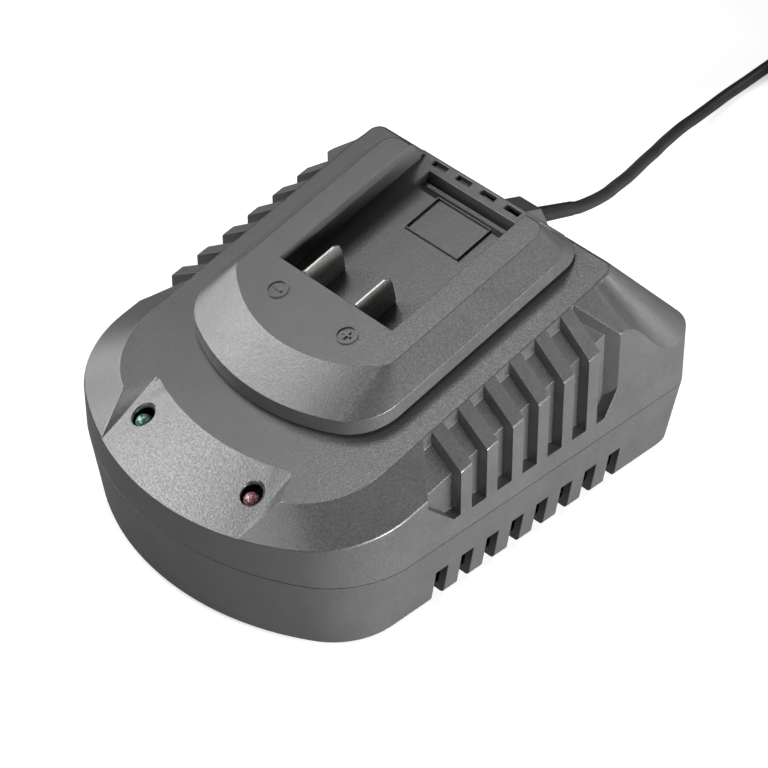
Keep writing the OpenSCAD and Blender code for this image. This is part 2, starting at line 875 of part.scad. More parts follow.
module fuse_clips() {
    color([0.80, 0.72, 0.45])
    on_board(fuse_place[0], fuse_place[1])
        for (x = [-9, 5])
            translate([x, 0, 0])
                difference() {
                    translate([0, -3.2, 0]) cube([4, 6.4, 7.6]);
                    translate([-past, 0, fuse_z]) rotate([0, 90, 0]) cylinder(d = 5.1, h = 4 + 2 * past);
                    translate([-past, -1.6, fuse_z]) cube([4 + 2 * past, 3.2, 5]);
                }
}

module film_capacitor() {
    color([0.85, 0.65, 0.15]) on_board(-31, 32) translate([-4.5, -9, 0]) cube([9, 18, 15]);
}

module line_choke() {
    color([0.55, 0.30, 0.12])
    on_board(-1.6, 50)
        rotate_extrude()
            polygon([[3.6, 1], [4.6, 0], [8.4, 0], [9.4, 1], [9.4, 8], [8.4, 9], [4.6, 9], [3.6, 8]]);
}

module bridge_rectifier() {
    color([0.10, 0.10, 0.11])
    on_board(16, 52) {
        translate([-5.5, -2, 1.5]) cube([20, 4, 15]);
        for (i = [0:3]) translate([-3 + i * 4.8, -0.4, 0]) cube([1, 0.8, 2]);
    }
}

bulk_place = [22, 34];
bulk_d = 16;
bulk_height = 31;
can_rim = 0.7; // width and height of a can's rolled rim

module can(d, height) {
    cylinder(d = d, h = height);
    translate([0, 0, height]) cylinder(d1 = d, d2 = d - 2 * can_rim, h = can_rim);
}

module bulk_capacitor() {
    color([0.12, 0.14, 0.20]) on_board(bulk_place[0], bulk_place[1]) can(bulk_d, bulk_height);
}

core_place = [-10, 8];
core_width = 30;
core_depth = 11;
core_height = 27;
yoke = 5;
centre_leg = 9;
side_leg = 4.5;
window_width = (core_width - centre_leg) / 2 - side_leg;
window_height = core_height - 2 * yoke;

module transformer_core() {
    color([0.16, 0.16, 0.17])
    on_board(core_place[0], core_place[1])
        difference() {
            translate([-core_width / 2, -core_depth / 2, 0]) cube([core_width, core_depth, core_height]);
            both_sides()
                translate([centre_leg / 2, -core_depth, yoke]) cube([window_width, 2 * core_depth, window_height]);
        }
}

module transformer_winding() {
    room = window_width - 2 * seam;
    color([0.85, 0.72, 0.25])
    on_board(core_place[0], core_place[1])
        translate([0, 0, yoke + seam])
            difference() {
                translate([-centre_leg / 2 - room, -core_depth / 2 - room, 0])
                    cube([centre_leg + 2 * room, core_depth + 2 * room, window_height - 2 * seam]);
                translate([-centre_leg / 2 - seam / 2, -core_depth / 2 - seam / 2, -past])
                    cube([centre_leg + seam, core_depth + seam, window_height + 2 * past]);
            }
}

module heat_sink(width, height) {
    translate([-width / 2, 0, 0]) cube([width, 2, height]);
    for (i = [0:4])
        translate([-width / 2 + i * (width - 1.4) / 4, 1.9, 0]) cube([1.4, 7, height]);
}

// Flat power package that lies against a plate at y = 0
module power_package() {
    translate([-5, -4.5, 3]) cube([10, 4.5, 9.5]);
    difference() {
        translate([-5, -1.3, 12.4]) cube([10, 1.3, 6.5]);
        translate([0, 1, 15.8]) rotate([90, 0, 0]) cylinder(d = 3.6, h = 4);
    }
    for (x = [-2.54, 0, 2.54]) translate([x - 0.4, -2.6, 0]) cube([0.8, 0.6, 3.2]);
}

primary_sink = [24, 10];
secondary_sink = [-22, -24];
sink_width = 24;
primary_sink_height = 24;
secondary_sink_height = 20;

module primary_heat_sink() {
    color([0.72, 0.73, 0.75]) on_board(primary_sink[0], primary_sink[1]) heat_sink(sink_width, primary_sink_height);
}

module switching_transistor() {
    color([0.10, 0.10, 0.11]) on_board(primary_sink[0], primary_sink[1]) power_package();
}

module secondary_heat_sink() {
    color([0.72, 0.73, 0.75]) on_board(secondary_sink[0], secondary_sink[1]) heat_sink(sink_width, secondary_sink_height);
}

module output_rectifier() {
    color([0.10, 0.10, 0.11]) on_board(secondary_sink[0], secondary_sink[1]) power_package();
}

output_places = [[4, -20], [16, -20]];
output_d = 10;
output_height = 19;

module output_capacitors() {
    color([0.12, 0.14, 0.20])
    for (p = output_places)
        on_board(p[0], p[1]) can(output_d, output_height);
}

module control_chip() {
    color([0.10, 0.10, 0.11])
    on_board(30, -14) {
        translate([-3.2, -4.8, 0.5]) cube([6.4, 9.6, 3.4]);
        both_sides()
            for (i = [0:3]) translate([3.1, -4.2 + i * 2.54, 0]) cube([1, 0.8, 2.2]);
    }
}

mains_connector_place = [-34, 10];
battery_connector_place = [28, -36];

module wire_connector() {
    difference() {
        translate([-6, -4, 0]) cube([12, 8, 9]);
        for (x = [-3, 3]) translate([x, 0, 5]) cylinder(d = 2.6, h = 5);
    }
}

module mains_connector() {
    color([0.25, 0.45, 0.30]) on_board(mains_connector_place[0], mains_connector_place[1]) wire_connector();
}

module battery_connector() {
    color([0.88, 0.88, 0.84]) on_board(battery_connector_place[0], battery_connector_place[1]) wire_connector();
}

// ---- Wires ----

function unit(v) = v / norm(v);
function route_way(route, i) =
    unit(route[min(i + 1, len(route) - 1)] - route[max(i - 1, 0)]);

// Ring of points round the route at point i; aside is any direction the route never takes
function route_ring(route, i, d, sides, aside) =
    let (way = route_way(route, i), u = unit(cross(way, aside)), v = cross(way, u))
    [for (k = [0:sides - 1]) let (a = 360 * k / sides) route[i] + d / 2 * (u * cos(a) + v * sin(a))];

module tube(route, d, sides, aside) {
    loft([for (i = [0:len(route) - 1]) route_ring(route, i, d, sides, aside)]);
}

wire_d = 2;
ribbon_d = 1.2;
wire_steps = 7;
jacket_z = clamp_z + cord_d / 2 - 0.9; // lead's middle where the clamp bites it
jacket_dip = 2.5;                      // how far its end hangs below that
jacket_in = exit_point(-hood_depth + past, 0);
jacket_end = [0, clamp_y - 9.5, jacket_z - jacket_dip];
wire_entry = 5.4; // how far a wire's end stands above the board, in its connector

wire_straight = 0.3; // share of a wire's first and last leg that stays straight

// Smooth route from a to d that leaves a along u and reaches d from d + v
function wire_route(a, u, d, v) = concat([a], [
    for (i = [0:wire_steps])
        let (t = i / wire_steps, from = a + wire_straight * u, to = d + wire_straight * v)
        from * pow(1 - t, 3) + 3 * (a + u) * t * pow(1 - t, 2) + 3 * (d + v) * t * t * (1 - t) + to * pow(t, 3)
], [d]);
function connector_hole(place, side) = [place[0] + 3 * side, place[1], board_top + wire_entry];

module inner_jacket() {
    color([0.14, 0.14, 0.15])
    tube([
        [0, jacket_in[0], jacket_in[1]], [0, clamp_y + 8, jacket_z + 0.1], [0, clamp_y + 5, jacket_z + 0.3],
        [0, clamp_y + 1, jacket_z], [0, clamp_y - 3, jacket_z - 0.1], [0, clamp_y - 6, jacket_z - 0.9],
        jacket_end
    ], cord_d, 12, [1, 0, 0]);
}

module mains_wire(side) {
    start = jacket_end + [1.2 * side, wire_d / 4, 0.4];
    tube(wire_route(start, [-6, -9, -5], connector_hole(mains_connector_place, side), [0, 0, 26]),
        wire_d, 8, [0.3, 1, 0]);
}

module live_wire() {
    color([0.40, 0.22, 0.12]) mains_wire(-1);
}

module neutral_wire() {
    color([0.15, 0.30, 0.60]) mains_wire(1);
}

module battery_wire(x, side) {
    y = block_front - 2;
    start = [x + 1.6, y, deck_z(y, -4.4)];
    tube(wire_route(start, [1, 0, -18], connector_hole(battery_connector_place, side), [0, 0, 25]),
        wire_d, 8, [0, 1, 0.2]);
}

module minus_wire() {
    color([0.10, 0.10, 0.11]) battery_wire(minus_x, -1);
}

module plus_wire() {
    color([0.65, 0.12, 0.12]) battery_wire(plus_x, 1);
}

module lamp_wires() {
    color([0.70, 0.70, 0.68])
    for (x = [-2, 0, 2])
        tube(wire_route([x, lamp_y + 4, lamp_board_z], [0, 0, -14], [x, board_y0 + 3, board_top], [0, 0, 10]),
            ribbon_d, 8, [1, 0, 0]);
}

// ---- Strain relief, cord clamp and screws ----

module cord_relief() {
    color([0.13, 0.13, 0.14])
    at_exit()
        difference() {
            union() {
                translate([0, 0, -hood_depth - 1.8]) cylinder(d = 9, h = 1.8);
                translate([0, 0, -hood_depth - 0.1]) cylinder(d = relief_d0, h = hood_depth + 0.1);
                cylinder(d1 = relief_d0, d2 = relief_d1, h = relief_length);
            }
            translate([0, 0, -hood_depth - 3]) cylinder(d = cord_d - 1, h = hood_depth + 3.2);
        }
}

module cord_clamp() {
    color([0.20, 0.20, 0.21])
    difference() {
        translate([-clamp_x - 4, clamp_y - clamp_length / 2, clamp_z - clamp_bar])
            cube([2 * clamp_x + 8, clamp_length, clamp_bar]);
        translate([0, clamp_y + clamp_length, clamp_z + cord_d / 2 - 0.9])
            rotate([90, 0, 0]) cylinder(d = cord_d + 2 * seam, h = 2 * clamp_length);
        at_each(clamp_places)
            translate([0, 0, clamp_z - clamp_bar - past]) cylinder(d = 2.8, h = clamp_bar + 2 * past);
    }
}

module clamp_screws() {
    color([0.75, 0.75, 0.76])
    at_each(clamp_places) translate([0, 0, clamp_z - clamp_bar]) screw(2.5, 5, 1.8, clamp_bar + clamp_bite);
}

module housing_screws() {
    color([0.70, 0.70, 0.72])
    at_each(housing_screw_places)
        translate([0, 0, screw_seat]) screw(screw_d, screw_head_d, screw_head_h, screw_length);
}

module dock_screws() {
    color([0.70, 0.70, 0.72])
    for (p = dock_screw_places)
        on_deck(p[0], p[1]) translate([0, 0, -wall]) screw(2.7, 5.6, 2, 9);
}

module rubber_feet() {
    color([0.08, 0.08, 0.09])
    at_each(foot_places) {
        cylinder(d1 = foot_d - 2.6, d2 = foot_d - 1.4, h = 0.6);
        translate([0, 0, 0.6]) cylinder(d = foot_d - 1.4, h = foot_stand + foot_sink - 0.6);
    }
}

// ---- Mains lead ----

relief_end = relief_root + relief_length * [0, cos(relief_pitch), sin(relief_pitch)];
coil_x = -25;
coil_y = 284;
coil_radius = 24; // to the middle of the turns
coil_lift = 0.6;
coil_layers = 3;
ground_z = cord_d / 2;

// Route of the lead, from the strain relief down to the ground and back to the coil
cord_route = [
    relief_end, [0, 97, 51.3], [-1.5, 103.5, 48.5], [-4, 111, 45], [-7.5, 120.5, 40.8],
    [-12.5, 130.3, 35.8], [-17, 141, 31.4], [-22.5, 152, 26.4], [-28, 163, 21.6], [-33, 174.2, 17.2],
    [-38, 184.5, 13], [-42, 194, 9.6], [-45.3, 203.3, 6.9], [-47.5, 212, 4.9], [-49.2, 220, 3.6],
    [-50.5, 227.5, 2.8], [-51.4, 234, 2.4], [-51.9, 240.3, ground_z], [-52.2, 246.5, ground_z],
    [-52.6, 252.7, ground_z], [-53, 259, ground_z], [-53.3, 265, 2.4], [-53.4, 270, 2.8]
];

module mains_cord() {
    color([0.14, 0.14, 0.15]) tube(cord_route, cord_d, 10, [1, 0, 0]);
}

module cord_coil() {
    inner = coil_radius - 1.5 * cord_d;
    outer = coil_radius + 1.5 * cord_d;
    top = coil_layers * cord_d;
    cut = 1.2;
    color([0.14, 0.14, 0.15])
    translate([coil_x, coil_y, coil_lift])
        rotate_extrude()
            polygon([
                [inner + cut, 0], [outer - cut, 0], [outer, cut], [outer, top - cut],
                [outer - cut, top], [inner + cut, top], [inner, top - cut], [inner, cut]
            ]);
}

tie_turn = 110;
tie_width = 8;
tie_thickness = coil_lift;

// Strap in a rectangle round all turns of the coil
module cord_tie() {
    inner = sqrt(pow(coil_radius - 1.5 * cord_d, 2) - pow(tie_width / 2, 2)) - seam / 2;
    outer = coil_radius + 1.5 * cord_d + seam / 2;
    room = coil_layers * cord_d + seam;
    color([0.06, 0.06, 0.07])
    translate([coil_x, coil_y, 0])
        rotate([0, 0, tie_turn])
            difference() {
                translate([inner - tie_thickness, -tie_width / 2, 0])
                    cube([outer - inner + 2 * tie_thickness, tie_width, room + 2 * tie_thickness]);
                translate([inner, -tie_width, tie_thickness])
                    cube([outer - inner, 2 * tie_width, room]);
            }
}

// The plug lies on its flat side next to the coil
plug_turn = -45;
plug_way = [cos(plug_turn), sin(plug_turn), 0];
coil_exit = [coil_x, coil_y, 0] + (coil_radius + cord_d) * [-sin(plug_turn), cos(plug_turn), 0];
plug_z = 7;
plug_start = coil_exit + 20 * plug_way + [0, 0, plug_z];
plug_relief = 22;
plug_length = 35;
plug_width = 25;
plug_height = 14;
pin_d = 4;
pin_length = 19;
pin_gap = 18.4;

module cord_tail() {
    lay = coil_lift + 2.5 * cord_d;
    color([0.14, 0.14, 0.15])
    tube([
        coil_exit + 4 * plug_way + [0, 0, lay], coil_exit + 8 * plug_way + [0, 0, lay - 0.8],
        coil_exit + 12 * plug_way + [0, 0, lay - 2.4], coil_exit + 16 * plug_way + [0, 0, plug_z + 0.9],
        plug_start
    ], cord_d, 10, [-plug_way[1], plug_way[0], 0]);
}

// Children are placed at the plug's cord end, with x along the plug
module at_plug() {
    translate(plug_start) rotate([0, 0, plug_turn]) children();
}

module plug_body() {
    color([0.10, 0.10, 0.11])
    at_plug() {
        rotate([0, 90, 0]) cylinder(d1 = cord_d + 1, d2 = 9, h = plug_relief);
        difference() {
            hull() {
                translate([plug_relief, 0, 0]) rotate([0, 90, 0]) cylinder(d = 10, h = 0.1, $fn = 32);
                translate([plug_relief + 12, -plug_width / 2 + 3, 0])
                    rotate([0, 90, 0]) cylinder(d = plug_height - 2, h = plug_length - 12, $fn = 32);
                translate([plug_relief + 12, plug_width / 2 - 3, 0])
                    rotate([0, 90, 0]) cylinder(d = plug_height - 2, h = plug_length - 12, $fn = 32);
                translate([plug_relief + 14, -plug_width / 2 + 6, -plug_height / 2])
                    cube([plug_length - 16, plug_width - 12, plug_height]);
            }
            for (side = [-1, 1])
                translate([plug_relief + plug_length - 8, side * pin_gap / 2, 0])
                    rotate([0, 90, 0]) cylinder(d = pin_d, h = 10);
        }
    }
}

module plug_pins() {
    color([0.80, 0.78, 0.70])
    at_plug()
        for (side = [-1, 1])
            translate([plug_relief + plug_length - 7.9, side * pin_gap / 2, 0])
                rotate([0, 90, 0]) {
                    cylinder(d = pin_d - 0.1, h = 6.9 + pin_length);
                    translate([0, 0, 6.9 + pin_length]) cylinder(d1 = pin_d - 0.1, d2 = 2.4, h = 1.2);
                }
}

lower_housing();
upper_housing();
battery_dock();
minus_blade();
plus_blade();
terminal_block();
green_lamp();
red_lamp();
lamp_board();
main_board();
mains_fuse();
fuse_clips();
film_capacitor();
line_choke();
bridge_rectifier();
bulk_capacitor();
switching_transistor();
primary_heat_sink();
transformer_core();
transformer_winding();
output_rectifier();
secondary_heat_sink();
output_capacitors();
control_chip();
mains_connector();
battery_connector();
cord_relief();
cord_clamp();
clamp_screws();
inner_jacket();
live_wire();
neutral_wire();
minus_wire();
plus_wire();
lamp_wires();
housing_screws();
dock_screws();
board_screws();
lamp_board_screws();
rubber_feet();
mains_cord();
cord_coil();
cord_tail();
cord_tie();
plug_body();
plug_pins();
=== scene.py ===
import bpy, bmesh, math
from mathutils import Matrix, Vector


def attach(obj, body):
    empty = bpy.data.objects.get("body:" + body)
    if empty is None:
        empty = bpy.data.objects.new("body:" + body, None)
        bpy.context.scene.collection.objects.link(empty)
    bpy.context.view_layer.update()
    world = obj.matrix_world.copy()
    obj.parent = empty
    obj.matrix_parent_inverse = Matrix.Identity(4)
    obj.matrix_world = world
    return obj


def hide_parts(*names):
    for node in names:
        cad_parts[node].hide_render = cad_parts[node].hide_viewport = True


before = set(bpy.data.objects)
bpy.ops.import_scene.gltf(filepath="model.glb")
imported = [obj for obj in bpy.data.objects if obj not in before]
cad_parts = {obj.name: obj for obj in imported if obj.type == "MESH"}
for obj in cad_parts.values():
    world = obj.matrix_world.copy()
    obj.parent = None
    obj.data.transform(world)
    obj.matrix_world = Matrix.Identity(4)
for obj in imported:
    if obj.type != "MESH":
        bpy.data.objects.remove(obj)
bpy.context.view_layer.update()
mm = 0.001  # every size below is in millimetres
print("frame loaded,", len(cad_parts), "nodes")

# ---- camera ----

cameraSetup = {
    "azimuth": 46.336, "elevation": 40.464, "roll": -0.334,  # degrees
    "target": (-0.78, 11.47, 27.83), "distance": 976.4,
    "focalPixels": 3093.3, "axisOffset": (0.751, -3.414), "imageSize": 768,  # pixels
    "sensor": 36,
}


def placeCamera(setup):
    azimuth, elevation, roll = (math.radians(setup[key]) for key in ("azimuth", "elevation", "roll"))
    back = Vector((math.sin(azimuth) * math.cos(elevation),
                   -math.cos(azimuth) * math.cos(elevation), math.sin(elevation)))
    right = Vector((math.cos(azimuth), math.sin(azimuth), 0))
    up = back.cross(right)
    rolledRight = right * math.cos(roll) + up * math.sin(roll)
    rolledUp = up * math.cos(roll) - right * math.sin(roll)
    lens = bpy.data.cameras.new("shotCamera")
    lens.sensor_width = setup["sensor"]
    lens.lens = setup["focalPixels"] / setup["imageSize"] * setup["sensor"]
    lens.shift_x = -setup["axisOffset"][0] / setup["imageSize"]
    lens.shift_y = setup["axisOffset"][1] / setup["imageSize"]
    lens.clip_start, lens.clip_end = 0.05, 30
    holder = bpy.data.objects.new("shotCamera", lens)
    bpy.context.collection.objects.link(holder)
    turn = Matrix((rolledRight, rolledUp, back)).transposed().to_4x4()
    place = (Vector(setup["target"]) + back * setup["distance"]) * mm
    holder.matrix_world = Matrix.Translation(place) @ turn
    bpy.context.scene.camera = holder


placeCamera(cameraSetup)

# ---- small helpers ----


def linearColour(hexValue):
    channels = [int(hexValue[i:i + 2], 16) / 255 for i in (1, 3, 5)]
    return tuple(c / 12.92 if c <= 0.04045 else ((c + 0.055) / 1.055) ** 2.4 for c in channels) + (1.0,)


def addNode(tree, kind, inputs=None, **settings):
    # adds one node; inputs are values or other nodes' outputs
    node = tree.nodes.new(kind)
    for name, value in settings.items():
        setattr(node, name, value)
    for socket, value in (inputs or {}).items():
        if isinstance(value, bpy.types.NodeSocket):
            tree.links.new(value, node.inputs[socket])
        else:
            node.inputs[socket].default_value = value
    return node


def mix(a, b, t):
    return a + (b - a) * t


def smoothStep(t):
    t = min(1, max(0, t))
    return t * t * (3 - 2 * t)


# ---- finishes ----


def newMaterial(name):
    material = bpy.data.materials.new(name)
    material.use_nodes = True
    material.node_tree.nodes.clear()
    return material, material.node_tree


def finishShader(tree, tone, relief, look, inputs):
    # two tones along one value, a bump from another, then the shader and its output
    ramp = addNode(tree, "ShaderNodeValToRGB", {"Fac": tone})
    for stop, place, colour in zip(ramp.color_ramp.elements, look["ramp"], (look["dark"], look["light"])):
        stop.position, stop.color = place, linearColour(colour)
    bump = addNode(tree, "ShaderNodeBump", {"Height": relief, "Distance": look["bump"] * mm, "Strength": 1.0})
    shader = addNode(tree, "ShaderNodeBsdfPrincipled", {
        "Base Color": ramp.outputs["Color"], "Normal": bump.outputs["Normal"], **inputs})
    addNode(tree, "ShaderNodeOutputMaterial", {"Surface": shader.outputs[0]})


def mouldedFinish(name, look):
    # colour that drifts between two tones, a fine grain in bump and roughness
    material, tree = newMaterial(name)
    coords = addNode(tree, "ShaderNodeTexCoord")
    place = addNode(tree, "ShaderNodeMapping", {"Vector": coords.outputs["Object"], "Scale": look["stretch"]})
    drift, grain = (addNode(tree, "ShaderNodeTexNoise", {
        "Vector": place.outputs[0], "Scale": 1 / (size * mm), "Detail": detail, "Roughness": rough})
        for size, detail, rough in ((look["drift"], 4, 0.6), (look["grain"], 2, 0.55)))
    speck = addNode(tree, "ShaderNodeMath", {0: grain.outputs["Fac"], 1: look["speckle"]},
                    operation="MULTIPLY")
    tone = addNode(tree, "ShaderNodeMath", {0: drift.outputs["Fac"], 1: speck.outputs[0]}, operation="ADD")
    sheen = addNode(tree, "ShaderNodeMapRange", {
        "Value": grain.outputs["Fac"], "From Min": 0.3, "From Max": 0.7,
        "To Min": look["rough"] - look["roughSpread"], "To Max": look["rough"] + look["roughSpread"]})
    finishShader(tree, tone.outputs[0], grain.outputs["Fac"], look,
                 {"Roughness": sheen.outputs["Result"], **look["inputs"]})
    return material


def grained(dark, light, drift, grain, bump, rough, roughSpread, inputs, stretch=(1, 1, 1)):
    # two tones; drift, grain and bump in millimetres; roughness and its spread; other inputs of the shader
    return {"dark": dark, "light": light, "drift": drift, "grain": grain, "bump": bump, "rough": rough,
            "roughSpread": roughSpread, "inputs": inputs, "stretch": stretch, "speckle": 0.5,
            "ramp": (0.45, 1)}


finishes = {
    # ABS from a spark-eroded mould: a matt grain that breaks highlights into fine sparkle
    "sparkErodedAbs": grained("#373738", "#414142", 14, 0.75, 0.05, 0.36, 0.08,
                              {"IOR": 1.58, "Specular IOR Level": 1.0}),
    # the same ABS, one shade lighter than the housing
    "dockAbs": grained("#39393a", "#434344", 12, 0.75, 0.045, 0.36, 0.08,
                       {"IOR": 1.58, "Specular IOR Level": 1.0}),
    # soft PVC jacket, extruded: nearly smooth, with faint streaks along it
    "pvcJacket": grained("#161718", "#202122", 6, 0.5, 0.012, 0.42, 0.05, {"IOR": 1.53}),
    # rigid PVC of the moulded plug, a little shinier
    "pvcPlug": grained("#1d1e1f", "#292a2b", 8, 0.4, 0.015, 0.38, 0.06, {"IOR": 1.53}),
    # glass-filled PBT of the terminal block and the small packages: dull black
    "blackPbt": grained("#17181a", "#222325", 3, 0.2, 0.01, 0.45, 0.08, {"IOR": 1.57}),
    # nickel plate on stamped brass: bright, with stamping lines along the strip
    "nickelPlate": grained("#b9b8b4", "#dedcd6", 3, 0.25, 0.0025, 0.3, 0.06, {"Metallic": 0.8}, (6, 0.6, 6)),
    # nickel plate on turned pins: brighter still, faintly yellow
    "plugPinNickel": grained("#b5b2aa", "#d8d5cb", 4, 0.3, 0.002, 0.2, 0.05, {"Metallic": 1.0}),
    # zinc-plated steel: pale, slightly blue, cloudy
    "zincSteel": grained("#8f9296", "#bcbec2", 1.2, 0.15, 0.004, 0.32, 0.08, {"Metallic": 1.0}),
    # spring brass of the fuse clips: warm yellow, softly bright
    "fuseClipBrass": grained("#a88a45", "#cfb26a", 2, 0.2, 0.002, 0.28, 0.06, {"Metallic": 1.0}),
    # glass-epoxy board under green solder resist: the weave shows faintly
    "solderResist": grained("#0f4a29", "#1b6639", 9, 0.7, 0.006, 0.3, 0.08, {"IOR": 1.52}),
    # glass tube of the fuse: clear and shiny
    "fuseGlass": grained("#c4ccc8", "#e2e8e5", 5, 1.2, 0.001, 0.08, 0.02,
                         {"IOR": 1.52, "Transmission Weight": 0.6}),
    # polyester film box and tape: flat, slightly waxy
    "yellowPolyester": grained("#b98a1d", "#d9ab35", 4, 0.3, 0.006, 0.4, 0.06, {"IOR": 1.57}),
    # enamelled copper wire wound close: fine ridges round the core
    "enamelledCopper": grained("#7a3418", "#b9622f", 1.5, 0.5, 0.05, 0.3, 0.06, {"Metallic": 1.0}, (1, 1, 4)),
    # shrunk sleeve of the capacitor cans: dark blue, a little glossy
    "canSleeve": grained("#15182a", "#20253c", 5, 0.4, 0.004, 0.3, 0.06, {"IOR": 1.54}),
    # extruded aluminium: drawn lines along z
    "extrudedAluminium": grained("#9a9c9f", "#c3c5c8", 3, 0.3, 0.006, 0.38, 0.08,
                                 {"Metallic": 1.0}, (4, 4, 0.3)),
    # sintered ferrite: dense, dark and faintly gritty
    "sinteredFerrite": grained("#1f2022", "#2e3033", 2, 0.12, 0.01, 0.55, 0.1, {"IOR": 1.6}),
    # undyed nylon of the connectors: creamy and dull
    "paleNylon": grained("#c9c8bd", "#dedcd0", 4, 0.3, 0.006, 0.45, 0.06, {"IOR": 1.53}),
    # thermoplastic rubber foot: dull, holds a little dust
    "footRubber": grained("#141415", "#232324", 2.5, 0.3, 0.02, 0.75, 0.08, {"IOR": 1.5}),
}
# PVC insulation of the wires: smooth and evenly coloured
for name, dark, light in (("brownWire", "#4d2c17", "#66402a"), ("blueWire", "#1d4a8c", "#2b5fa8"),
                          ("blackWire", "#18191a", "#27282a"), ("redWire", "#8e1a1c", "#ab2b2c"),
                          ("greyRibbon", "#a5a6a5", "#bfc0bf")):
    finishes[name] = grained(dark, light, 4, 0.3, 0.004, 0.4, 0.05, {"IOR": 1.53})
materials = {name: mouldedFinish(name, look) for name, look in finishes.items()}
print("finishes made,", len(materials))

# cloud is the size in millimetres of the noise patches that mix the dye tint with the painted highlight tone
epoxy = {"cloud": 0.9, "bump": 0.004, "ramp": (0.3, 0.7), "rough": 0.12, "clear": 0.35}
weave = {"dark": "#0c0c0d", "light": "#252628", "ramp": (0, 1), "thread": 0.35, "bump": 0.12}


def tintedEpoxy(name, look):
    # clear epoxy dome with dye in it: glossy; its colour drifts in noise clouds from a deep tint to a pale
    # one, and the pale tone is a painted highlight
    material, tree = newMaterial(name)
    coords = addNode(tree, "ShaderNodeTexCoord")
    cloud = addNode(tree, "ShaderNodeTexNoise", {
        "Vector": coords.outputs["Object"], "Scale": 1 / (look["cloud"] * mm), "Detail": 2})
    finishShader(tree, cloud.outputs["Fac"], cloud.outputs["Fac"], look, {
        "IOR": 1.56, "Roughness": look["rough"], "Transmission Weight": look["clear"], "Coat Weight": 1.0,
        "Coat Roughness": 0.05, "Coat IOR": 1.5})
    return material


def wovenStrap(name, look):
    # hook-and-loop strap: close nylon weave, threads a fraction of a millimetre apart
    material, tree = newMaterial(name)
    coords = addNode(tree, "ShaderNodeTexCoord")
    across, along = (addNode(tree, "ShaderNodeTexWave", {
        "Vector": coords.outputs["UV"], "Scale": 1 / (look["thread"] * 6.28 * mm), "Distortion": 1.2,
        "Detail": 2}, bands_direction=way) for way in ("X", "Y"))
    crossing = addNode(tree, "ShaderNodeMath", {0: across.outputs["Fac"], 1: along.outputs["Fac"]},
                       operation="MULTIPLY")
    finishShader(tree, crossing.outputs[0], crossing.outputs[0], look, {
        "Roughness": 0.8, "Sheen Weight": 0.3, "Sheen Roughness": 0.5})
    return material


# deep tint of each dome, then its pale tone, which is a painted highlight
for name, dark, light in (("greenEpoxy", "#1c5a44", "#8fd0b4"), ("redEpoxy", "#6b2a2c", "#e0a6a8")):
    materials[name] = tintedEpoxy(name, {**epoxy, "dark": dark, "light": light})
materials["nylonStrap"] = wovenStrap("nylonStrap", weave)

# ---- shape helpers ----


def newObject(name, mesh):
    piece = bpy.data.objects.new(name, mesh)
    bpy.context.collection.objects.link(piece)
    return piece


def meshPiece(name, points, faces, recalculate=True):
    # points in millimetres
    mesh = bpy.data.meshes.new(name)
    mesh.from_pydata([[c * mm for c in p] for p in points], [], faces)
    mesh.validate()
    if recalculate:
        shape = bmesh.new()
        shape.from_mesh(mesh)
        bmesh.ops.recalc_face_normals(shape, faces=shape.faces)
        shape.to_mesh(mesh)
        shape.free()
    return newObject(name, mesh)


def loft(name, rings, closed=False):
    # stacked rings of equal length; closed joins the last ring to the first
    count = len(rings[0])
    points = [p for ring in rings for p in ring]
    faces = []
    for k in range(len(rings) if closed else len(rings) - 1):
        low, high = k * count, (k + 1) % len(rings) * count
        faces += [(low + i, low + (i + 1) % count, high + (i + 1) % count, high + i) for i in range(count)]
    if not closed:
        faces += [tuple(range(count))[::-1], tuple(range(len(points) - count, len(points)))]
    return meshPiece(name, points, faces)


def evaluatedMesh(piece):
    graph = bpy.context.evaluated_depsgraph_get()
    return bpy.data.meshes.new_from_object(piece.evaluated_get(graph), depsgraph=graph)


def remove(*objects):
    for piece in objects:
        bpy.data.objects.remove(piece, do_unlink=True)


def combine(target, other, operation, keep=False):
    # boolean of two solids, applied at once
    modifier = target.modifiers.new("combine", "BOOLEAN")
    modifier.operation, modifier.solver, modifier.object = operation, "EXACT", other
    mesh = evaluatedMesh(target)
    target.modifiers.clear()
    target.data = mesh
    if not keep:
        remove(other)
    return target


def cut(target, *others):
    for other in others:
        combine(target, other, "DIFFERENCE")
    return target


def join(target, *others):
    for other in others:
        combine(target, other, "UNION")
    return target


def common(target, *others):
    for other in others:
        combine(target, other, "INTERSECT")
    return target


def mirrored(piece):
    # copy on the other side of the middle plane
    mesh = piece.data.copy()
    mesh.transform(Matrix.Scale(-1, 4, (1, 0, 0)))
    mesh.flip_normals()
    return newObject(piece.name + "Mirror", mesh)


def softenEdges(piece, width, angle=28, segments=2, choose=None):
    shape = bmesh.new()
    shape.from_mesh(piece.data)
    bmesh.ops.remove_doubles(shape, verts=shape.verts, dist=0.004 * mm)
    bmesh.ops.dissolve_degenerate(shape, edges=shape.edges, dist=0.004 * mm)
    limit = math.radians(angle)
    edges = [e for e in shape.edges if len(e.link_faces) == 2 and e.calc_face_angle(0) > limit
             and (choose is None or choose((e.verts[0].co + e.verts[1].co) / 2 / mm))]
    bmesh.ops.bevel(shape, geom=edges, offset=width * mm, offset_type="OFFSET", segments=segments,
                    profile=0.5, affect="EDGES", clamp_overlap=False)
    shape.to_mesh(piece.data)
    shape.free()
    return piece


def isBroad(face):
    return face.calc_area() > 0.6 * mm * max(e.calc_length() for e in face.edges)


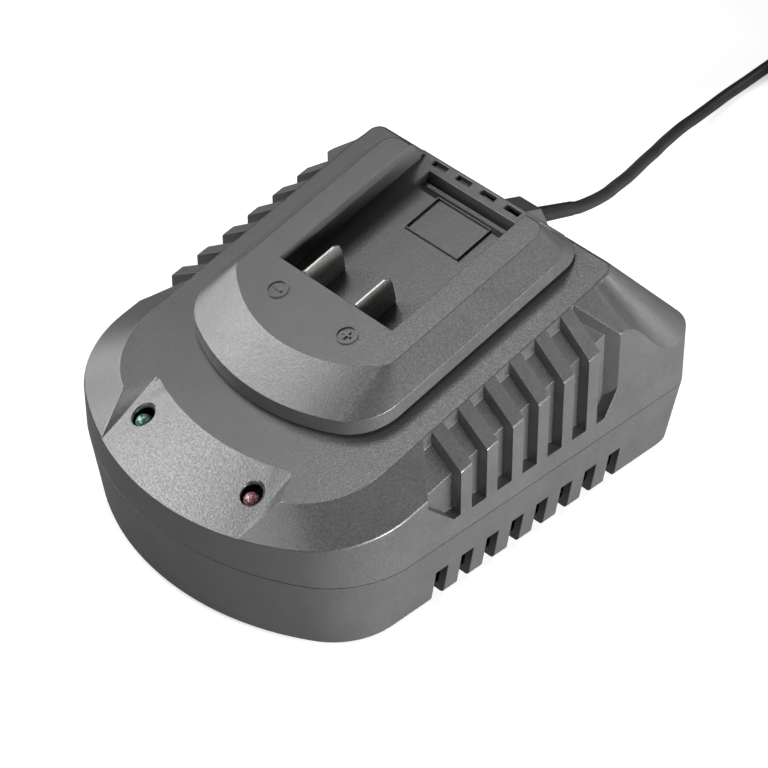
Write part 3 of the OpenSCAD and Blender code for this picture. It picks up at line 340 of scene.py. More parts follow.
def smoothFaces(piece, angle=50, crease=12):
    # flat faces stay flat because the normals are weighted by area; creases between broad faces stay crisp
    piece.data.polygons.foreach_set("use_smooth", [True] * len(piece.data.polygons))
    piece.data.set_sharp_from_angle(angle=math.radians(angle))
    shape = bmesh.new()
    shape.from_mesh(piece.data)
    for edge in shape.edges:
        if (len(edge.link_faces) == 2 and edge.calc_face_angle(0) > math.radians(crease)
                and all(isBroad(face) for face in edge.link_faces)):
            edge.smooth = False
    shape.to_mesh(piece.data)
    shape.free()
    modifier = piece.modifiers.new("weights", "WEIGHTED_NORMAL")
    modifier.mode, modifier.weight, modifier.keep_sharp = "FACE_AREA", 100, True
    piece.data = evaluatedMesh(piece)
    piece.modifiers.clear()
    return piece


def finishPiece(piece, material, nodes):
    piece.data.materials.clear()
    piece.data.materials.append(materials[material])
    piece.data.polygons.foreach_set("material_index", [0] * len(piece.data.polygons))
    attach(piece, "root")
    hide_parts(*nodes)
    return piece


def growPiece(name, tree, values, points=()):
    # runs a geometry node tree once and keeps the plain mesh
    mesh = bpy.data.meshes.new(name)
    mesh.from_pydata([[c * mm for c in p] for p in points], [], [])
    holder = newObject(name, mesh)
    modifier = holder.modifiers.new("grow", "NODES")
    modifier.node_group = tree
    for item in tree.interface.items_tree:
        if item.item_type == "SOCKET" and item.in_out == "INPUT" and item.name in values:
            modifier[item.identifier] = values[item.name]
    holder.data = evaluatedMesh(holder)
    holder.modifiers.clear()
    return holder


def newTree(name, inputs):
    tree = bpy.data.node_groups.new(name, "GeometryNodeTree")
    tree.interface.new_socket("Geometry", in_out="INPUT", socket_type="NodeSocketGeometry")
    for label, kind in inputs:
        tree.interface.new_socket(label, in_out="INPUT", socket_type="NodeSocket" + kind)
    tree.interface.new_socket("Geometry", in_out="OUTPUT", socket_type="NodeSocketGeometry")
    return tree, addNode(tree, "NodeGroupInput"), addNode(tree, "NodeGroupOutput")


def endTree(tree, output, geometry, material):
    real = addNode(tree, "GeometryNodeRealizeInstances", {0: geometry})
    painted = addNode(tree, "GeometryNodeSetMaterial", {"Geometry": real.outputs[0], "Material": material})
    tree.links.new(painted.outputs[0], output.inputs[0])


def boxRowTree():
    # equal boxes in a row, for ribs and slots
    tree, given, output = newTree("boxRow", [
        ("Count", "Int"), ("First", "Vector"), ("Step", "Vector"), ("Size", "Vector"),
        ("Material", "Material")])
    row = addNode(tree, "GeometryNodeMeshLine", {
        "Count": given.outputs["Count"], "Start Location": given.outputs["First"],
        "Offset": given.outputs["Step"]})
    box = addNode(tree, "GeometryNodeMeshCube", {"Size": given.outputs["Size"]})
    placed = addNode(tree, "GeometryNodeInstanceOnPoints", {
        "Points": row.outputs[0], "Instance": box.outputs[0]})
    endTree(tree, output, placed.outputs[0], given.outputs["Material"])
    return tree


def copiesTree():
    # one made piece on every point of the holder, all turned alike
    tree, given, output = newTree("copies", [
        ("Piece", "Object"), ("Turn", "Vector"), ("Material", "Material")])
    piece = addNode(tree, "GeometryNodeObjectInfo", {"Object": given.outputs["Piece"]})
    turn = addNode(tree, "FunctionNodeEulerToRotation", {"Euler": given.outputs["Turn"]})
    placed = addNode(tree, "GeometryNodeInstanceOnPoints", {
        "Points": given.outputs["Geometry"], "Instance": piece.outputs["Geometry"],
        "Rotation": turn.outputs["Rotation"]})
    endTree(tree, output, placed.outputs[0], given.outputs["Material"])
    return tree


boxRow = boxRowTree()
copies = copiesTree()


def boxes(name, count, low, high, step):
    # count boxes from corner low to corner high, each moved on by step
    return growPiece(name, boxRow, {
        "Count": count, "First": [(a + b) / 2 * mm for a, b in zip(low, high)],
        "Step": [c * mm for c in step], "Size": [(b - a) * mm for a, b in zip(low, high)]})


def scattered(name, piece, places, material, turn=(0, 0, 0)):
    # copies of one piece on the given places
    group = growPiece(name, copies, {"Piece": piece, "Turn": turn, "Material": materials[material]}, places)
    remove(piece)
    return group


# ---- form of the housing ----

housing = {
    "width": 130, "length": 168, "wall": 2.4, "parting": 27.4,
    "foldHeight": 55.5, "foldTilt": 11.3, "deckHeight": 64.5, "deckTilt": 13.2, "deckWidth": 104.6,
    "noseRadius": 93, "noseCorner": 34, "deckSetback": 10.4, "deckNoseRadius": 80, "deckNoseCorner": 28,
    "rearCorner": 9, "deckRearCorner": 4, "rearRun": 26, "rearHeight": 48.7, "dipHeight": 45.5,
    "fallStart": 48, "fallEnd": 72, "foot": 1, "bottomEdge": 1.6,
    "lowerLean": 4.2, "noseLean": 3.4, "rearLean": 2.4, "cornerLean": 8,
    "foldRound": 1.1, "deckRound": 1.3, "edgeRound": 0.2, "seamRound": 0.25, "seamGap": 0.2,
}
halfWidth = housing["width"] / 2
deckHalf = housing["deckWidth"] / 2
noseY = -housing["length"] / 2
tailY = housing["length"] / 2
deckTail = tailY - housing["rearRun"]
wall = housing["wall"]
deckSlope = math.tan(math.radians(housing["deckTilt"]))
flankAngle = math.atan2(housing["deckHeight"] - housing["foldHeight"], halfWidth - deckHalf)


def deckZ(y, rise=0):
    return housing["deckHeight"] + rise + y * deckSlope


def foldZ(y):
    start, dip = housing["fallStart"], housing["fallEnd"]
    if y > dip:
        return mix(housing["dipHeight"], housing["rearHeight"], smoothStep((y - dip) / (tailY - dip)))
    straight = housing["foldHeight"] + y * math.tan(math.radians(housing["foldTilt"]))
    return mix(straight, housing["dipHeight"], smoothStep((y - start) / (dip - start)))


rearAngle = math.atan2(deckZ(deckTail) - housing["rearHeight"], housing["rearRun"])
deckInset = math.tan(flankAngle / 2)
foldDrop = math.tan((math.pi / 2 - flankAngle) / 2)
rearInset = math.tan((rearAngle + math.radians(housing["deckTilt"])) / 2)


def arc(x, y, radius, start, end, steps):
    # angles from -Y towards +X
    angles = [mix(start, end, i / steps) for i in range(steps + 1)]
    return [(x + radius * math.sin(a), y - radius * math.cos(a)) for a in angles]


def outline(w, y0, r0, rc, y1, rr, turn, fine=1):
    # nose arc, corner arcs, straight sides and small rear corners, all round
    mid, cx = y0 + r0, w - rc
    lift = math.sqrt((r0 - rc) ** 2 - cx * cx)
    a = math.atan2(cx, lift)
    cy = mid - lift
    side = arc(0, mid, r0, 0, a, 30 // fine)
    side += arc(cx, cy, rc, a, math.pi / 2, 22 // fine)[1:]
    side += [(w, mix(cy, turn, i / 8)) for i in range(1, 9)]
    side += [(w, mix(turn, y1 - rr, i / 12)) for i in range(1, 12)]
    side += arc(w - rr, y1 - rr, rr, math.pi / 2, math.pi, 8)
    return side + [(-x, y) for x, y in side[:0:-1]]


def bodyOutline(t, fine=1):
    return outline(halfWidth - t, noseY + t, housing["noseRadius"] - t, housing["noseCorner"] - t,
                   tailY - t, housing["rearCorner"] - t, housing["fallStart"], fine)


def deckOutline(t, grow=0):
    inset = t * deckInset + grow
    return outline(deckHalf - inset, noseY + housing["deckSetback"] + inset,
                   housing["deckNoseRadius"] - t - grow, housing["deckNoseCorner"] - t - grow,
                   deckTail - t * rearInset - grow, housing["deckRearCorner"] - min(grow, 3),
                   housing["fallStart"])


def levelRing(plan, z):
    return [(x, y, z) for x, y in plan]


def deckRing(plan, rise):
    return [(x, y, deckZ(y, rise)) for x, y in plan]


def foldRing(plan, drop):
    return [(x, y, foldZ(y) - drop) for x, y in plan]


def roundedRings(before, corner, after, radius, steps):
    # rings that round the corner ring between its two neighbours
    rings = [[] for _ in range(steps + 1)]
    for a, b, c in zip(before, corner, after):
        a, b, c = Vector(a), Vector(b), Vector(c)
        u, v = (a - b).normalized(), (c - b).normalized()
        half = u.angle(v) / 2
        run = min(max(radius / math.tan(half), 0.05), 0.45 * (a - b).length, 0.45 * (c - b).length)
        reach = run * math.tan(half)
        centre = b + (u + v).normalized() * math.hypot(run, reach)
        start, end = b + u * run - centre, b + v * run - centre
        for k in range(steps + 1):
            rings[k].append(tuple(centre + start.slerp(end, k / steps).normalized() * reach))
    return rings


def upperForm(name, t, base, rounded):
    foldPlan, deckPlan = bodyOutline(t), deckOutline(t)
    foot, fold = levelRing(foldPlan, base), foldRing(foldPlan, t * foldDrop)
    drop = -t / math.cos(math.radians(housing["deckTilt"]))
    deck = deckRing(deckPlan, drop)
    if not rounded:
        return loft(name, [foot, fold, deck])
    inner = deckRing(deckOutline(t, 3), drop)
    return loft(name, [foot] + roundedRings(foot, fold, deck, housing["foldRound"], 4)
                + roundedRings(fold, deck, inner, housing["deckRound"], 4))


def deckPrism(name, x0, x1, section):
    # bar along X; the section is given as (y, rise above the deck)
    return loft(name, [[(x, y, deckZ(y, rise)) for y, rise in section] for x in (x0, x1)])


def deckBlock(name, x0, x1, y0, y1, low, high):
    return deckPrism(name, x0, x1, [(y0, low), (y1, low), (y1, high), (y0, high)])


deckTurn = Matrix.Rotation(math.radians(housing["deckTilt"]), 3, "X")


def turned(points, turn, place):
    return [tuple(turn @ Vector(p) + Vector(place)) for p in points]


def circle(radius, z, count=40):
    return [(radius * math.cos(2 * math.pi * i / count), radius * math.sin(2 * math.pi * i / count), z)
            for i in range(count)]


def roundBar(name, stations, turn=None, place=(0, 0, 0), count=40):
    # turned solid through (radius, height) stations
    turn = turn or Matrix.Identity(3)
    return loft(name, [turned(circle(radius, z, count), turn, place) for radius, z in stations])


def pillars(name, radius, low, high, places, count=40):
    # upright round bars on the given places
    return [roundBar(name, [(radius, low), (radius, high)], place=(x, y, 0), count=count) for x, y in places]


def deckPillars(name, radius, low, high, places, count=40):
    # the same square to the deck, with heights from its surface
    return [roundBar(name, [(radius, low), (radius, high)], deckTurn, (x, y, deckZ(y)), count)
            for x, y in places]


# ---- lamp panel ----

panel = {
    "half": 30.9, "setback": 22.8, "radius": 86, "lean": 28, "height": 12,
    "lampX": 24.4, "lampSetback": 17.1, "lampWidth": 5, "lampSink": 0.4,
    "flangeOver": 0.4, "flangeStep": 0.06,
    "holeWidth": 6.8, "holeRound": 0.6, "lipThickness": 0.9, "lipRadius": 5.2, "lipReach": 7,
    "boardZ": 33.8, "board": 1.6, "crispTail": -50, "crispBottom": 38, "crispHalf": 42,
}
panelPitch = math.atan2(deckZ(noseY + panel["setback"]) - foldZ(noseY), panel["setback"])
sideY = noseY + housing["noseRadius"] - math.sqrt(housing["noseRadius"] ** 2 - panel["half"] ** 2)
topY = noseY + panel["setback"] + panel["radius"] - math.sqrt(panel["radius"] ** 2 - panel["half"] ** 2)
troughPitch = math.atan2(deckZ(topY) - foldZ(sideY), topY - sideY)
lampY = noseY + panel["lampSetback"]
lampArcY = noseY + housing["noseRadius"] - math.sqrt(housing["noseRadius"] ** 2 - panel["lampX"] ** 2)
panelZ = foldZ(lampArcY) + (lampY - lampArcY) * math.tan(panelPitch)


def panelForm(name, t, base):
    plan = bodyOutline(t)
    inset = t * math.tan((panelPitch - math.radians(housing["deckTilt"])) / 2)
    upper = outline(deckHalf, noseY + panel["setback"] + inset, panel["radius"], housing["deckNoseCorner"],
                    deckTail, housing["deckRearCorner"], housing["fallStart"])
    foot = levelRing(plan, base)
    fold = foldRing(plan, t * math.tan((math.pi / 2 - panelPitch) / 2))
    deck = deckRing(upper, -t / math.cos(math.radians(housing["deckTilt"])))
    return loft(name, [foot, fold, deck])


def panelTrough(name, grow):
    half, height = panel["half"] + grow, panel["height"]
    reach = height / math.tan(math.radians(panel["lean"]))
    section = [(-half, -grow), (half, -grow), (half + reach, height), (-half - reach, height)]
    turn = Matrix.Rotation(math.radians(90) + troughPitch, 3, "X")
    place = (0, sideY, foldZ(sideY))
    return loft(name, [turned([(x, y, z) for x, y in section], turn, place) for z in (-60, 30)])


def panelTurn(side):
    # turn of the panel's face where a lamp stands
    return (Matrix.Rotation(side * math.asin(panel["lampX"] / housing["noseRadius"]), 3, "Z")
            @ Matrix.Rotation(panelPitch, 3, "X"))


def lampHoles():
    # upright hole whose rim widens evenly towards the sloping face
    hole, reach, cutters = panel["holeWidth"] / 2, panel["holeRound"], []
    for side in (-1, 1):
        facing = panelTurn(side) @ Vector((0, 0, 1))
        x = side * panel["lampX"]
        rings = [turned(circle(hole, panel["boardZ"] + panel["board"]), Matrix.Identity(3), (x, lampY, 0))]
        for grow, rise in ((0, -reach), (reach * 0.3, -reach * 0.4), (reach, 0), (reach * 1.3, 0.3)):
            rings.append([(x + dx, lampY + dy, panelZ + rise - (facing.x * dx + facing.y * dy) / facing.z)
                          for dx, dy, _ in circle(hole + grow, 0)])
        rings.append([(a, b, panelZ + 12) for a, b, _ in rings[-1]])
        cutters.append(loft("lampHole", rings))
    return cutters


# ---- ribbed pockets ----

pockets = {
    "depth": 4.2, "front": -34, "rear": 47.5, "bottom": 34.4, "endShift": 7.8, "noseShift": 10, "corner": 11,
    "ribs": 6, "ribThickness": 4.7, "pitch": 10.85, "ribStart": -20.4,
}
pocketMid = (pockets["front"] + pockets["rear"]) / 2
pocketFall = deckZ(pocketMid) - foldZ(pocketMid)


def pocketRoom(name, t):
    # room of the +X pocket, grown inwards by t
    depth = pockets["depth"] + t
    x0, x1, out = deckHalf - t, halfWidth - depth, halfWidth + 5
    drop0 = depth / math.cos(flankAngle)
    drop1 = drop0 + pocketFall * (x1 - x0) / (halfWidth - deckHalf)
    low, y0, y1 = pockets["bottom"] - t, pockets["front"] - t, pockets["rear"] + t
    tilt = math.cos(math.radians(housing["deckTilt"]))
    section = [(x0, 8), (x0, -drop0 * tilt), (x1, -drop1 * tilt), (x1, -60), (out, -60), (out, 8)]
    room = loft(name, [turned([(x, y, z) for x, z in section], deckTurn, (0, 0, deckZ(0)))
                       for y in (70, -60)])
    plan = [(x0 - 1, y0 + pockets["noseShift"] + 1), (halfWidth, y0), (out, y0 - 3),
            (out, y1 + 3), (halfWidth, y1), (x0 - 1, y1 - pockets["endShift"] - 1)]
    corner = pockets["corner"]
    side = [(y0 + corner, low), (y1 - corner / 2, low), (y1 + 1, low + corner), (y1 + 1, 110),
            (y0, 110), (y0, low + corner)]
    return common(room, loft("plan", [levelRing(plan, low), levelRing(plan, low + 90)]),
                  loft("side", [[(x, y, z) for y, z in side] for x in (x0 - 1, out)]))


def ribGaps():
    gaps = pocketRoom("gaps", 0)
    ribs = boxes("ribs", pockets["ribs"], (deckHalf - 1, pockets["ribStart"], 0),
                 (deckHalf + halfWidth, pockets["ribStart"] + pockets["ribThickness"], 110),
                 (0, pockets["pitch"], 0))
    return combine(gaps, ribs, "DIFFERENCE")


# ---- cord exit ----

cordExit = {
    "root": (0, 78.3, 58.2), "pitch": -20, "reliefLength": 18, "reliefStart": 5.4, "reliefEnd": 4.8,
    "hoodWidth": 9.6, "hoodHeight": 10.8, "hoodDepth": 20.6, "hoodLean": 5.1, "bore": 2.85,
}
exitWay = Vector((0, math.cos(math.radians(cordExit["pitch"])), math.sin(math.radians(cordExit["pitch"]))))
exitTurn = Matrix.Rotation(math.radians(cordExit["pitch"] - 90), 3, "X")


def exitPoint(s, h):
    c, d = exitWay.y, exitWay.z
    return (cordExit["root"][1] + s * c - h * d, cordExit["root"][2] + s * d + h * c)


def hoodBlock():
    h, depth, lean = cordExit["hoodHeight"], cordExit["hoodDepth"], cordExit["hoodLean"]
    section = [exitPoint(-depth, -h / 2), exitPoint(0, -h / 2 - 3.5), exitPoint(lean * 0.8, -h * 0.4),
               exitPoint(-lean, h / 2), exitPoint(-depth, h / 2)]
    half = cordExit["hoodWidth"] / 2
    return loft("hood", [[(x, y, z) for y, z in section] for x in (-half, half)])


# ---- upper shell ----

opening = {
    "half": 31.3, "front": -30, "tail": 53.9, "tongue": 1.1, "noseHalf": 21, "channelFront": -9.9,
    "slotPitch": 10.7, "slotWidth": 6.2, "slotY": 54.9, "slotLength": 2, "dockWall": 2.2, "seam": 0.15,
    "roomDepth": 12, "slotRoomDepth": 9, "slotRoomSide": 0.8, "slotRoomBack": 2.5, "slotDepth": 4,
}
dockScrewPlaces = [(-28.5, -22), (28.5, -22), (-34.4, 36), (34.4, 36)]
housingScrewPlaces = [(-50, -44), (50, -44), (-53, 68), (53, 68)]
lampPostPlaces = [(-12, lampY + 1), (12, lampY + 1)]
footPlaces = [(-38, -60), (38, -60), (-38, 70), (38, 70)]
boardHoles = [(x, y) for x in (-38, 38) for y in (-40, 58)]
clampPlaces = [(-8, 49), (8, 49)]
# radius, lower end and upper end of posts and screw holes
bars = {
    "housingPost": (4, 20, 100), "housingHole": (1.65, 19, 36), "lampPost": (2.5, 35.4, 55.4),
    "lampHole": (1.15, 33.8, 41.8), "deckHole": (1.65, -8, 4),
    "trayPost": (5, 0, 20), "trayHole": (1.65, -1, 22), "well": (3.6, -1, 14),
    "boardPost": (3.5, 0, 9), "boardHole": (1.3, 3.4, 10), "footSeat": (6, -1, housing["foot"] + 0.8),
    "dockHole": (1.45, -1, 7.5), "clampBoss": (3, 64.2, 76.2), "clampHole": (1.35, 63.2, 68.6),
}
seam = opening["seam"]


def rearSlots(depth, grow=0, back=0):
    half, y = opening["slotWidth"] / 2 + grow, opening["slotY"]
    return [deckBlock("slot", i * opening["slotPitch"] - half, i * opening["slotPitch"] + half,
                      y - grow, y + opening["slotLength"] + back, -depth, 3) for i in range(-2, 3)]


def isSoftened(place):
    # all edges but those of the panel's shallow sides
    return place.y > panel["crispTail"] or place.z < panel["crispBottom"] or abs(place.x) > panel["crispHalf"]


def makeUpperShell():
    parting, half, bore = housing["parting"], opening["half"], cordExit["bore"]
    shell = upperForm("upperShell", 0, parting, True)
    gaps = ribGaps()
    cut(shell, mirrored(gaps), gaps)
    cut(shell, cut(panelTrough("trough", 0), panelForm("panelForm", 0, parting - 2)))
    join(shell, hoodBlock())
    print("upper shell: outer form done")
    tail = opening["channelFront"] - opening["dockWall"] - seam
    depth = -opening["roomDepth"]
    cut(shell,
        deckBlock("floorRoom", -half, half, tail, opening["tail"], depth, 3),
        deckBlock("noseRoom", -opening["noseHalf"], opening["noseHalf"], opening["front"], 0, depth, 3),
        deckBlock("tongueRoom", -half, half, opening["tail"] - 1, deckTail + 4, -opening["tongue"] - seam, 3),
        *rearSlots(opening["slotRoomDepth"], opening["slotRoomSide"], opening["slotRoomBack"]),
        *lampHoles(),
        roundBar("cordHole", [(bore, -cordExit["hoodDepth"] - 1), (bore, cordExit["hoodLean"] + 1)],
                 exitTurn, cordExit["root"]))
    softenEdges(shell, housing["edgeRound"], choose=isSoftened)
    print("upper shell: edges softened")
    inner = upperForm("inner", wall, parting - 1, False)
    room = pocketRoom("room", wall)
    cut(inner, mirrored(room), room,
        cut(panelTrough("innerTrough", wall), panelForm("innerPanel", wall, parting - 2)))
    posts = pillars("post", *bars["housingPost"], housingScrewPlaces)
    posts += pillars("post", *bars["lampPost"], lampPostPlaces)
    cut(shell, cut(inner, *posts))
    # the wall round each lamp hole is thinned from inside
    for side in (-1, 1):
        cut(shell, roundBar("thinning", [(panel["lipRadius"], -panel["lipReach"]),
                                         (panel["lipRadius"], -panel["lipThickness"])],
                            panelTurn(side), (side * panel["lampX"], lampY, panelZ)))
    holes = pillars("hole", *bars["housingHole"], housingScrewPlaces, 20)
    holes += pillars("hole", *bars["lampHole"], lampPostPlaces, 16)
    return cut(shell, *holes, *deckPillars("hole", *bars["deckHole"], dockScrewPlaces, 20))


upperShell = smoothFaces(makeUpperShell(), 38)
finishPiece(upperShell, "sparkErodedAbs", ["upper_housing"])
print("upper shell done,", len(upperShell.data.polygons), "faces")

# ---- lower shell ----

slots = {"count": 8, "width": 5.1, "height": 14.5, "start": -28.3, "reach": 53}


def lowerOutline(share, t):
    return outline(
        halfWidth - housing["lowerLean"] * share - t, noseY + housing["noseLean"] * share + t,
        housing["noseRadius"] - housing["noseLean"] * share - t,
        housing["noseCorner"] - housing["cornerLean"] * share - t,
        tailY - housing["rearLean"] * share - t, housing["rearCorner"] - share - t, housing["fallStart"])


def lowerForm(name, t, top):
    edge, foot = housing["bottomEdge"], housing["foot"] + t
    levels = [(1, edge, 0), (1, edge * 0.55, edge * 0.1), (1, edge * 0.3, edge * 0.3),
              (1, edge * 0.1, edge * 0.6), (0.94, 0, edge)]
    rings = [levelRing(lowerOutline(share, inset + t), foot + rise) for share, inset, rise in levels]
    return loft(name, rings + [levelRing(bodyOutline(t), housing["parting"] - housing["seamGap"])]
                + ([levelRing(bodyOutline(t), top)] if top else []))


def makeLowerShell():
    shell = lowerForm("lowerShell", 0, None)
    for x in (slots["reach"], -slots["reach"] - halfWidth):
        cut(shell, boxes("slots", slots["count"], (x, slots["start"], -1),
                         (x + halfWidth, slots["start"] + slots["width"], slots["height"]),
                         (0, pockets["pitch"], 0)))
    cut(shell, *pillars("footSeat", *bars["footSeat"], footPlaces),
        *pillars("well", *bars["well"], housingScrewPlaces))
    softenEdges(shell, housing["seamRound"])
    inner = lowerForm("inner", wall, housing["parting"] + 1)
    posts = pillars("post", *bars["trayPost"], housingScrewPlaces)
    posts += pillars("post", *bars["boardPost"], boardHoles)
    cut(shell, cut(inner, *posts))
    lip, lipRoom = (
        loft(name, [levelRing(bodyOutline(wall + seam + inset, 2), housing["parting"] + z) for z in heights])
        for name, inset, heights in (("lip", 0, (-3, 2.4)), ("lipRoom", 1.2, (-4, 4))))
    join(shell, cut(lip, lipRoom))
    return cut(shell, *pillars("hole", *bars["trayHole"], housingScrewPlaces, 20),
               *pillars("hole", *bars["boardHole"], boardHoles, 16))


lowerShell = smoothFaces(makeLowerShell())
finishPiece(lowerShell, "sparkErodedAbs", ["lower_housing"])
print("lower shell done,", len(lowerShell.data.polygons), "faces")

# ---- battery dock ----

dock = {
    "width": 83, "front": -45.8, "rear": 57, "radius": 74, "corner": 18, "rise": 13.7, "skirtRise": 6.4,
    "rearCorner": 9, "straightTo": 20, "topRadius": 50, "topCorner": 6, "topRearCorner": 5,
    "skirtGap": 1, "wall": 2.2, "topWidth": 68.2, "topFront": -33, "topTail": 46.7, "skirtTail": 51.5,
    "channel": 49.8, "groove": 4.1, "railThickness": 3.4, "floorRise": 0.4, "floorThickness": 2.5,
    "neckInset": 2, "pitWidth": 45.5, "pitFront": 45.3, "pitLength": 7.1, "pitLedge": 2.9, "pitFlat": 1.7,
    "pitSlot": 1.1, "pitDepth": 6, "pitWall": 1.4, "pitSide": 1.5, "railRoomTail": 44, "bossTail": 52.9,
    "frameX": 11.6, "frameLength": 14.6, "frameOver": 0.3, "frameLine": 0.3, "frameDepth": 1.5,
    "skirtRound": 0.35, "footRound": 0.3, "topRound": 0.9, "edgeRound": 0.25, "postWidth": 7,
    "signX": 15.3, "signY": -19.4, "signWidth": 7, "signDepth": 0.6, "signLine": 0.45, "signBar": (1.65, 0.3),
}
blades = {
    "minusX": -14.6, "plusX": 7.9, "thickness": 0.9, "slot": 1.05, "reach": 13.2, "drop": 0.8,
    "edgeRound": 0.2, "blockFront": -24,
}
dockHalf, channelHalf = dock["width"] / 2, dock["channel"] / 2


def dockPlan(t, tail):
    return outline(dockHalf - t, dock["front"] + t, dock["radius"] - t, dock["corner"] - t, tail - t,
                   dock["rearCorner"] - t, dock["straightTo"])


def topPlan(t):
    return outline(dock["topWidth"] / 2 - t, dock["topFront"] + t, dock["topRadius"] - t,
                   dock["topCorner"] - min(t, 4), dock["topTail"] - t, dock["topRearCorner"] - min(t, 3),
                   dock["straightTo"])


def dockForm(name, t, rounded=False):
    skirtFoot = deckRing(dockPlan(t, dock["rear"]), dock["skirtGap"] if t == 0 else -1)
    skirtTop = deckRing(dockPlan(t, dock["skirtTail"]), dock["skirtRise"] - t * 0.4)
    top = deckRing(topPlan(t * 0.4), dock["rise"] - t)
    if not rounded:
        return loft(name, [skirtFoot, skirtTop, top])
    inner = deckRing(topPlan(3), dock["rise"])
    return loft(name, [skirtFoot] + roundedRings(skirtFoot, skirtTop, top, dock["skirtRound"], 3)
                + roundedRings(skirtTop, top, inner, dock["topRound"], 4))


def signCutters():
    # a ring and a bar on each side, one bar crossed
    cutters = []
    depth, outer, (long, thick) = dock["signDepth"], dock["signWidth"] / 2, dock["signBar"]
    for side in (-1, 1):
        place = (side * dock["signX"], dock["signY"], deckZ(dock["signY"], dock["rise"]))
        ring, room = (roundBar("ring", [(r, -reach), (r, reach)], deckTurn, place)
                      for r, reach in ((outer, depth), (outer - dock["signLine"], depth * 2)))
        cutters.append(cut(ring, room))
        for a, b in ((long, thick), (thick, long))[:1 if side < 0 else 2]:
            cutters.append(loft("bar", [
                turned([(-a, -b, z), (a, -b, z), (a, b, z), (-a, b, z)], deckTurn, place)
                for z in (-depth * 1.5, depth)]))
    return cutters


def latchPit():
    # slope, ledge and slot, as one bar across the floor
    half, front, top = dock["pitWidth"] / 2, dock["pitFront"], dock["floorRise"]
    ledge, depth, tail = -dock["pitLedge"], -dock["pitDepth"], front + dock["pitLength"]
    slotFront = tail - dock["pitSlot"]
    return deckPrism("pit", -half, half, [
        (front, top + 1), (front, top), (slotFront - dock["pitFlat"], ledge), (slotFront, ledge),
        (slotFront, depth), (tail, depth), (tail, top + 1)])


def floorFrame():
    # fine line round the field in front of the pit
    x, line, top = dock["frameX"], dock["frameLine"], dock["floorRise"]
    y0, y1 = dock["pitFront"] - dock["frameLength"], dock["pitFront"] + dock["frameOver"]
    return cut(deckBlock("frameLine", -x, x, y0, y1, top - dock["frameDepth"], top + 1),
               deckBlock("frameRoom", -x + line, x - line, y0 + line, y1 - line, top - 2, top + 2))


def makeDock():
    rise, front, floorRise = dock["rise"], opening["channelFront"], dock["floorRise"]
    reach, half = channelHalf + dock["groove"], opening["half"] - seam
    pitHalf, floorTail = dock["pitWidth"] / 2, opening["tail"] - 2 * seam
    body = softenEdges(dockForm("batteryDock", 0, True), dock["footRound"], 60)
    join(body, loft("neck", [deckRing(dockPlan(dock["neckInset"], dock["rear"]), r)
                             for r in (0, dock["skirtGap"] + 1)]))
    cut(body, deckBlock("channel", -channelHalf, channelHalf, front, 70, floorRise, rise + 6),
        deckBlock("grooves", -reach, reach, front, 70, floorRise, rise - dock["railThickness"]))
    join(body,
         deckBlock("floor", -half, half, front - dock["wall"], floorTail,
                   floorRise - dock["floorThickness"], floorRise),
         deckBlock("tongue", -half, half, opening["tail"] - 1.5, deckTail, -opening["tongue"], floorRise),
         deckBlock("pitWalls", -pitHalf - dock["pitSide"], pitHalf + dock["pitSide"],
                   dock["pitFront"] - dock["pitWall"], floorTail, -dock["pitDepth"] - dock["pitWall"], -1))
    print("dock: body joined")
    cut(body, latchPit(), *rearSlots(opening["slotDepth"]))
    softenEdges(body, dock["edgeRound"])
    cut(body, floorFrame(), *signCutters())
    print("dock: edges softened")
    hollow = dockForm("hollow", dock["wall"] + dock["neckInset"] / 2)
    common(hollow, deckBlock("noseOnly", -dockHalf, dockHalf, dock["front"], front - dock["wall"], -2, rise))
    posts = deckPillars("post", dock["postWidth"] / 2, -3, rise + 3, dockScrewPlaces)
    railRooms = []
    for side in (-1, 1):
        ends = sorted((side * (reach + dock["wall"]), side * (dockHalf - dock["neckInset"] - dock["wall"])))
        railRooms.append(deckBlock("railRoom", *ends, front, dock["railRoomTail"], -1, dock["skirtRise"]))
    for room in (hollow, *railRooms):
        for post in posts:
            combine(room, post, "DIFFERENCE", keep=True)
        cut(body, room)
    remove(*posts)
    low, high = floorRise, rise - blades["drop"] + seam
    cut(body, *[deckBlock("bladeSlot", x - blades["slot"] / 2, x + blades["slot"] / 2,
                          front - dock["wall"] - 1, front + 1, low, high)
                for x in (blades["minusX"], blades["plusX"])])
    cut(body, *deckPillars("hole", *bars["dockHole"], dockScrewPlaces, 20))
    join(body, *[common(boss, deckBlock("bossLimit", -pitHalf, pitHalf, dock["pitFront"], dock["bossTail"],
                                        -20, -dock["pitDepth"] - 0.7))
                 for boss in pillars("boss", *bars["clampBoss"], clampPlaces)])
    return cut(body, *pillars("hole", *bars["clampHole"], clampPlaces, 16))


batteryDock = smoothFaces(makeDock())
finishPiece(batteryDock, "dockAbs", ["battery_dock"])
print("dock done,", len(batteryDock.data.polygons), "faces")

# ---- contact blades ----


def makeBlade(name, x):
    low, high = dock["floorRise"] + 0.1, dock["rise"] - blades["drop"]
    tip, root = opening["channelFront"] + blades["reach"], opening["channelFront"] - dock["wall"]
    blockFront = blades["blockFront"]
    blade = deckPrism(name, x - blades["thickness"] / 2, x + blades["thickness"] / 2, [
        (blockFront - 3, -7), (blockFront - 0.2, -7), (blockFront - 0.2, 3), (root, 3),
        (root, low), (tip + 4.5, low), (tip + 4.3, low + 3), (tip + 3.2, high - 3.8), (tip + 2.2, high - 1.3),
        (tip, high), (root, high), (root, 8), (blockFront - 3, 8)])
    return smoothFaces(softenEdges(blade, blades["edgeRound"], 25, 2))


for sign in ("minus", "plus"):
    blade = makeBlade(sign + "Blade", blades[sign + "X"])
    finishPiece(blade, "nickelPlate", [sign + "_blade"])

# ---- indicator lamps ----


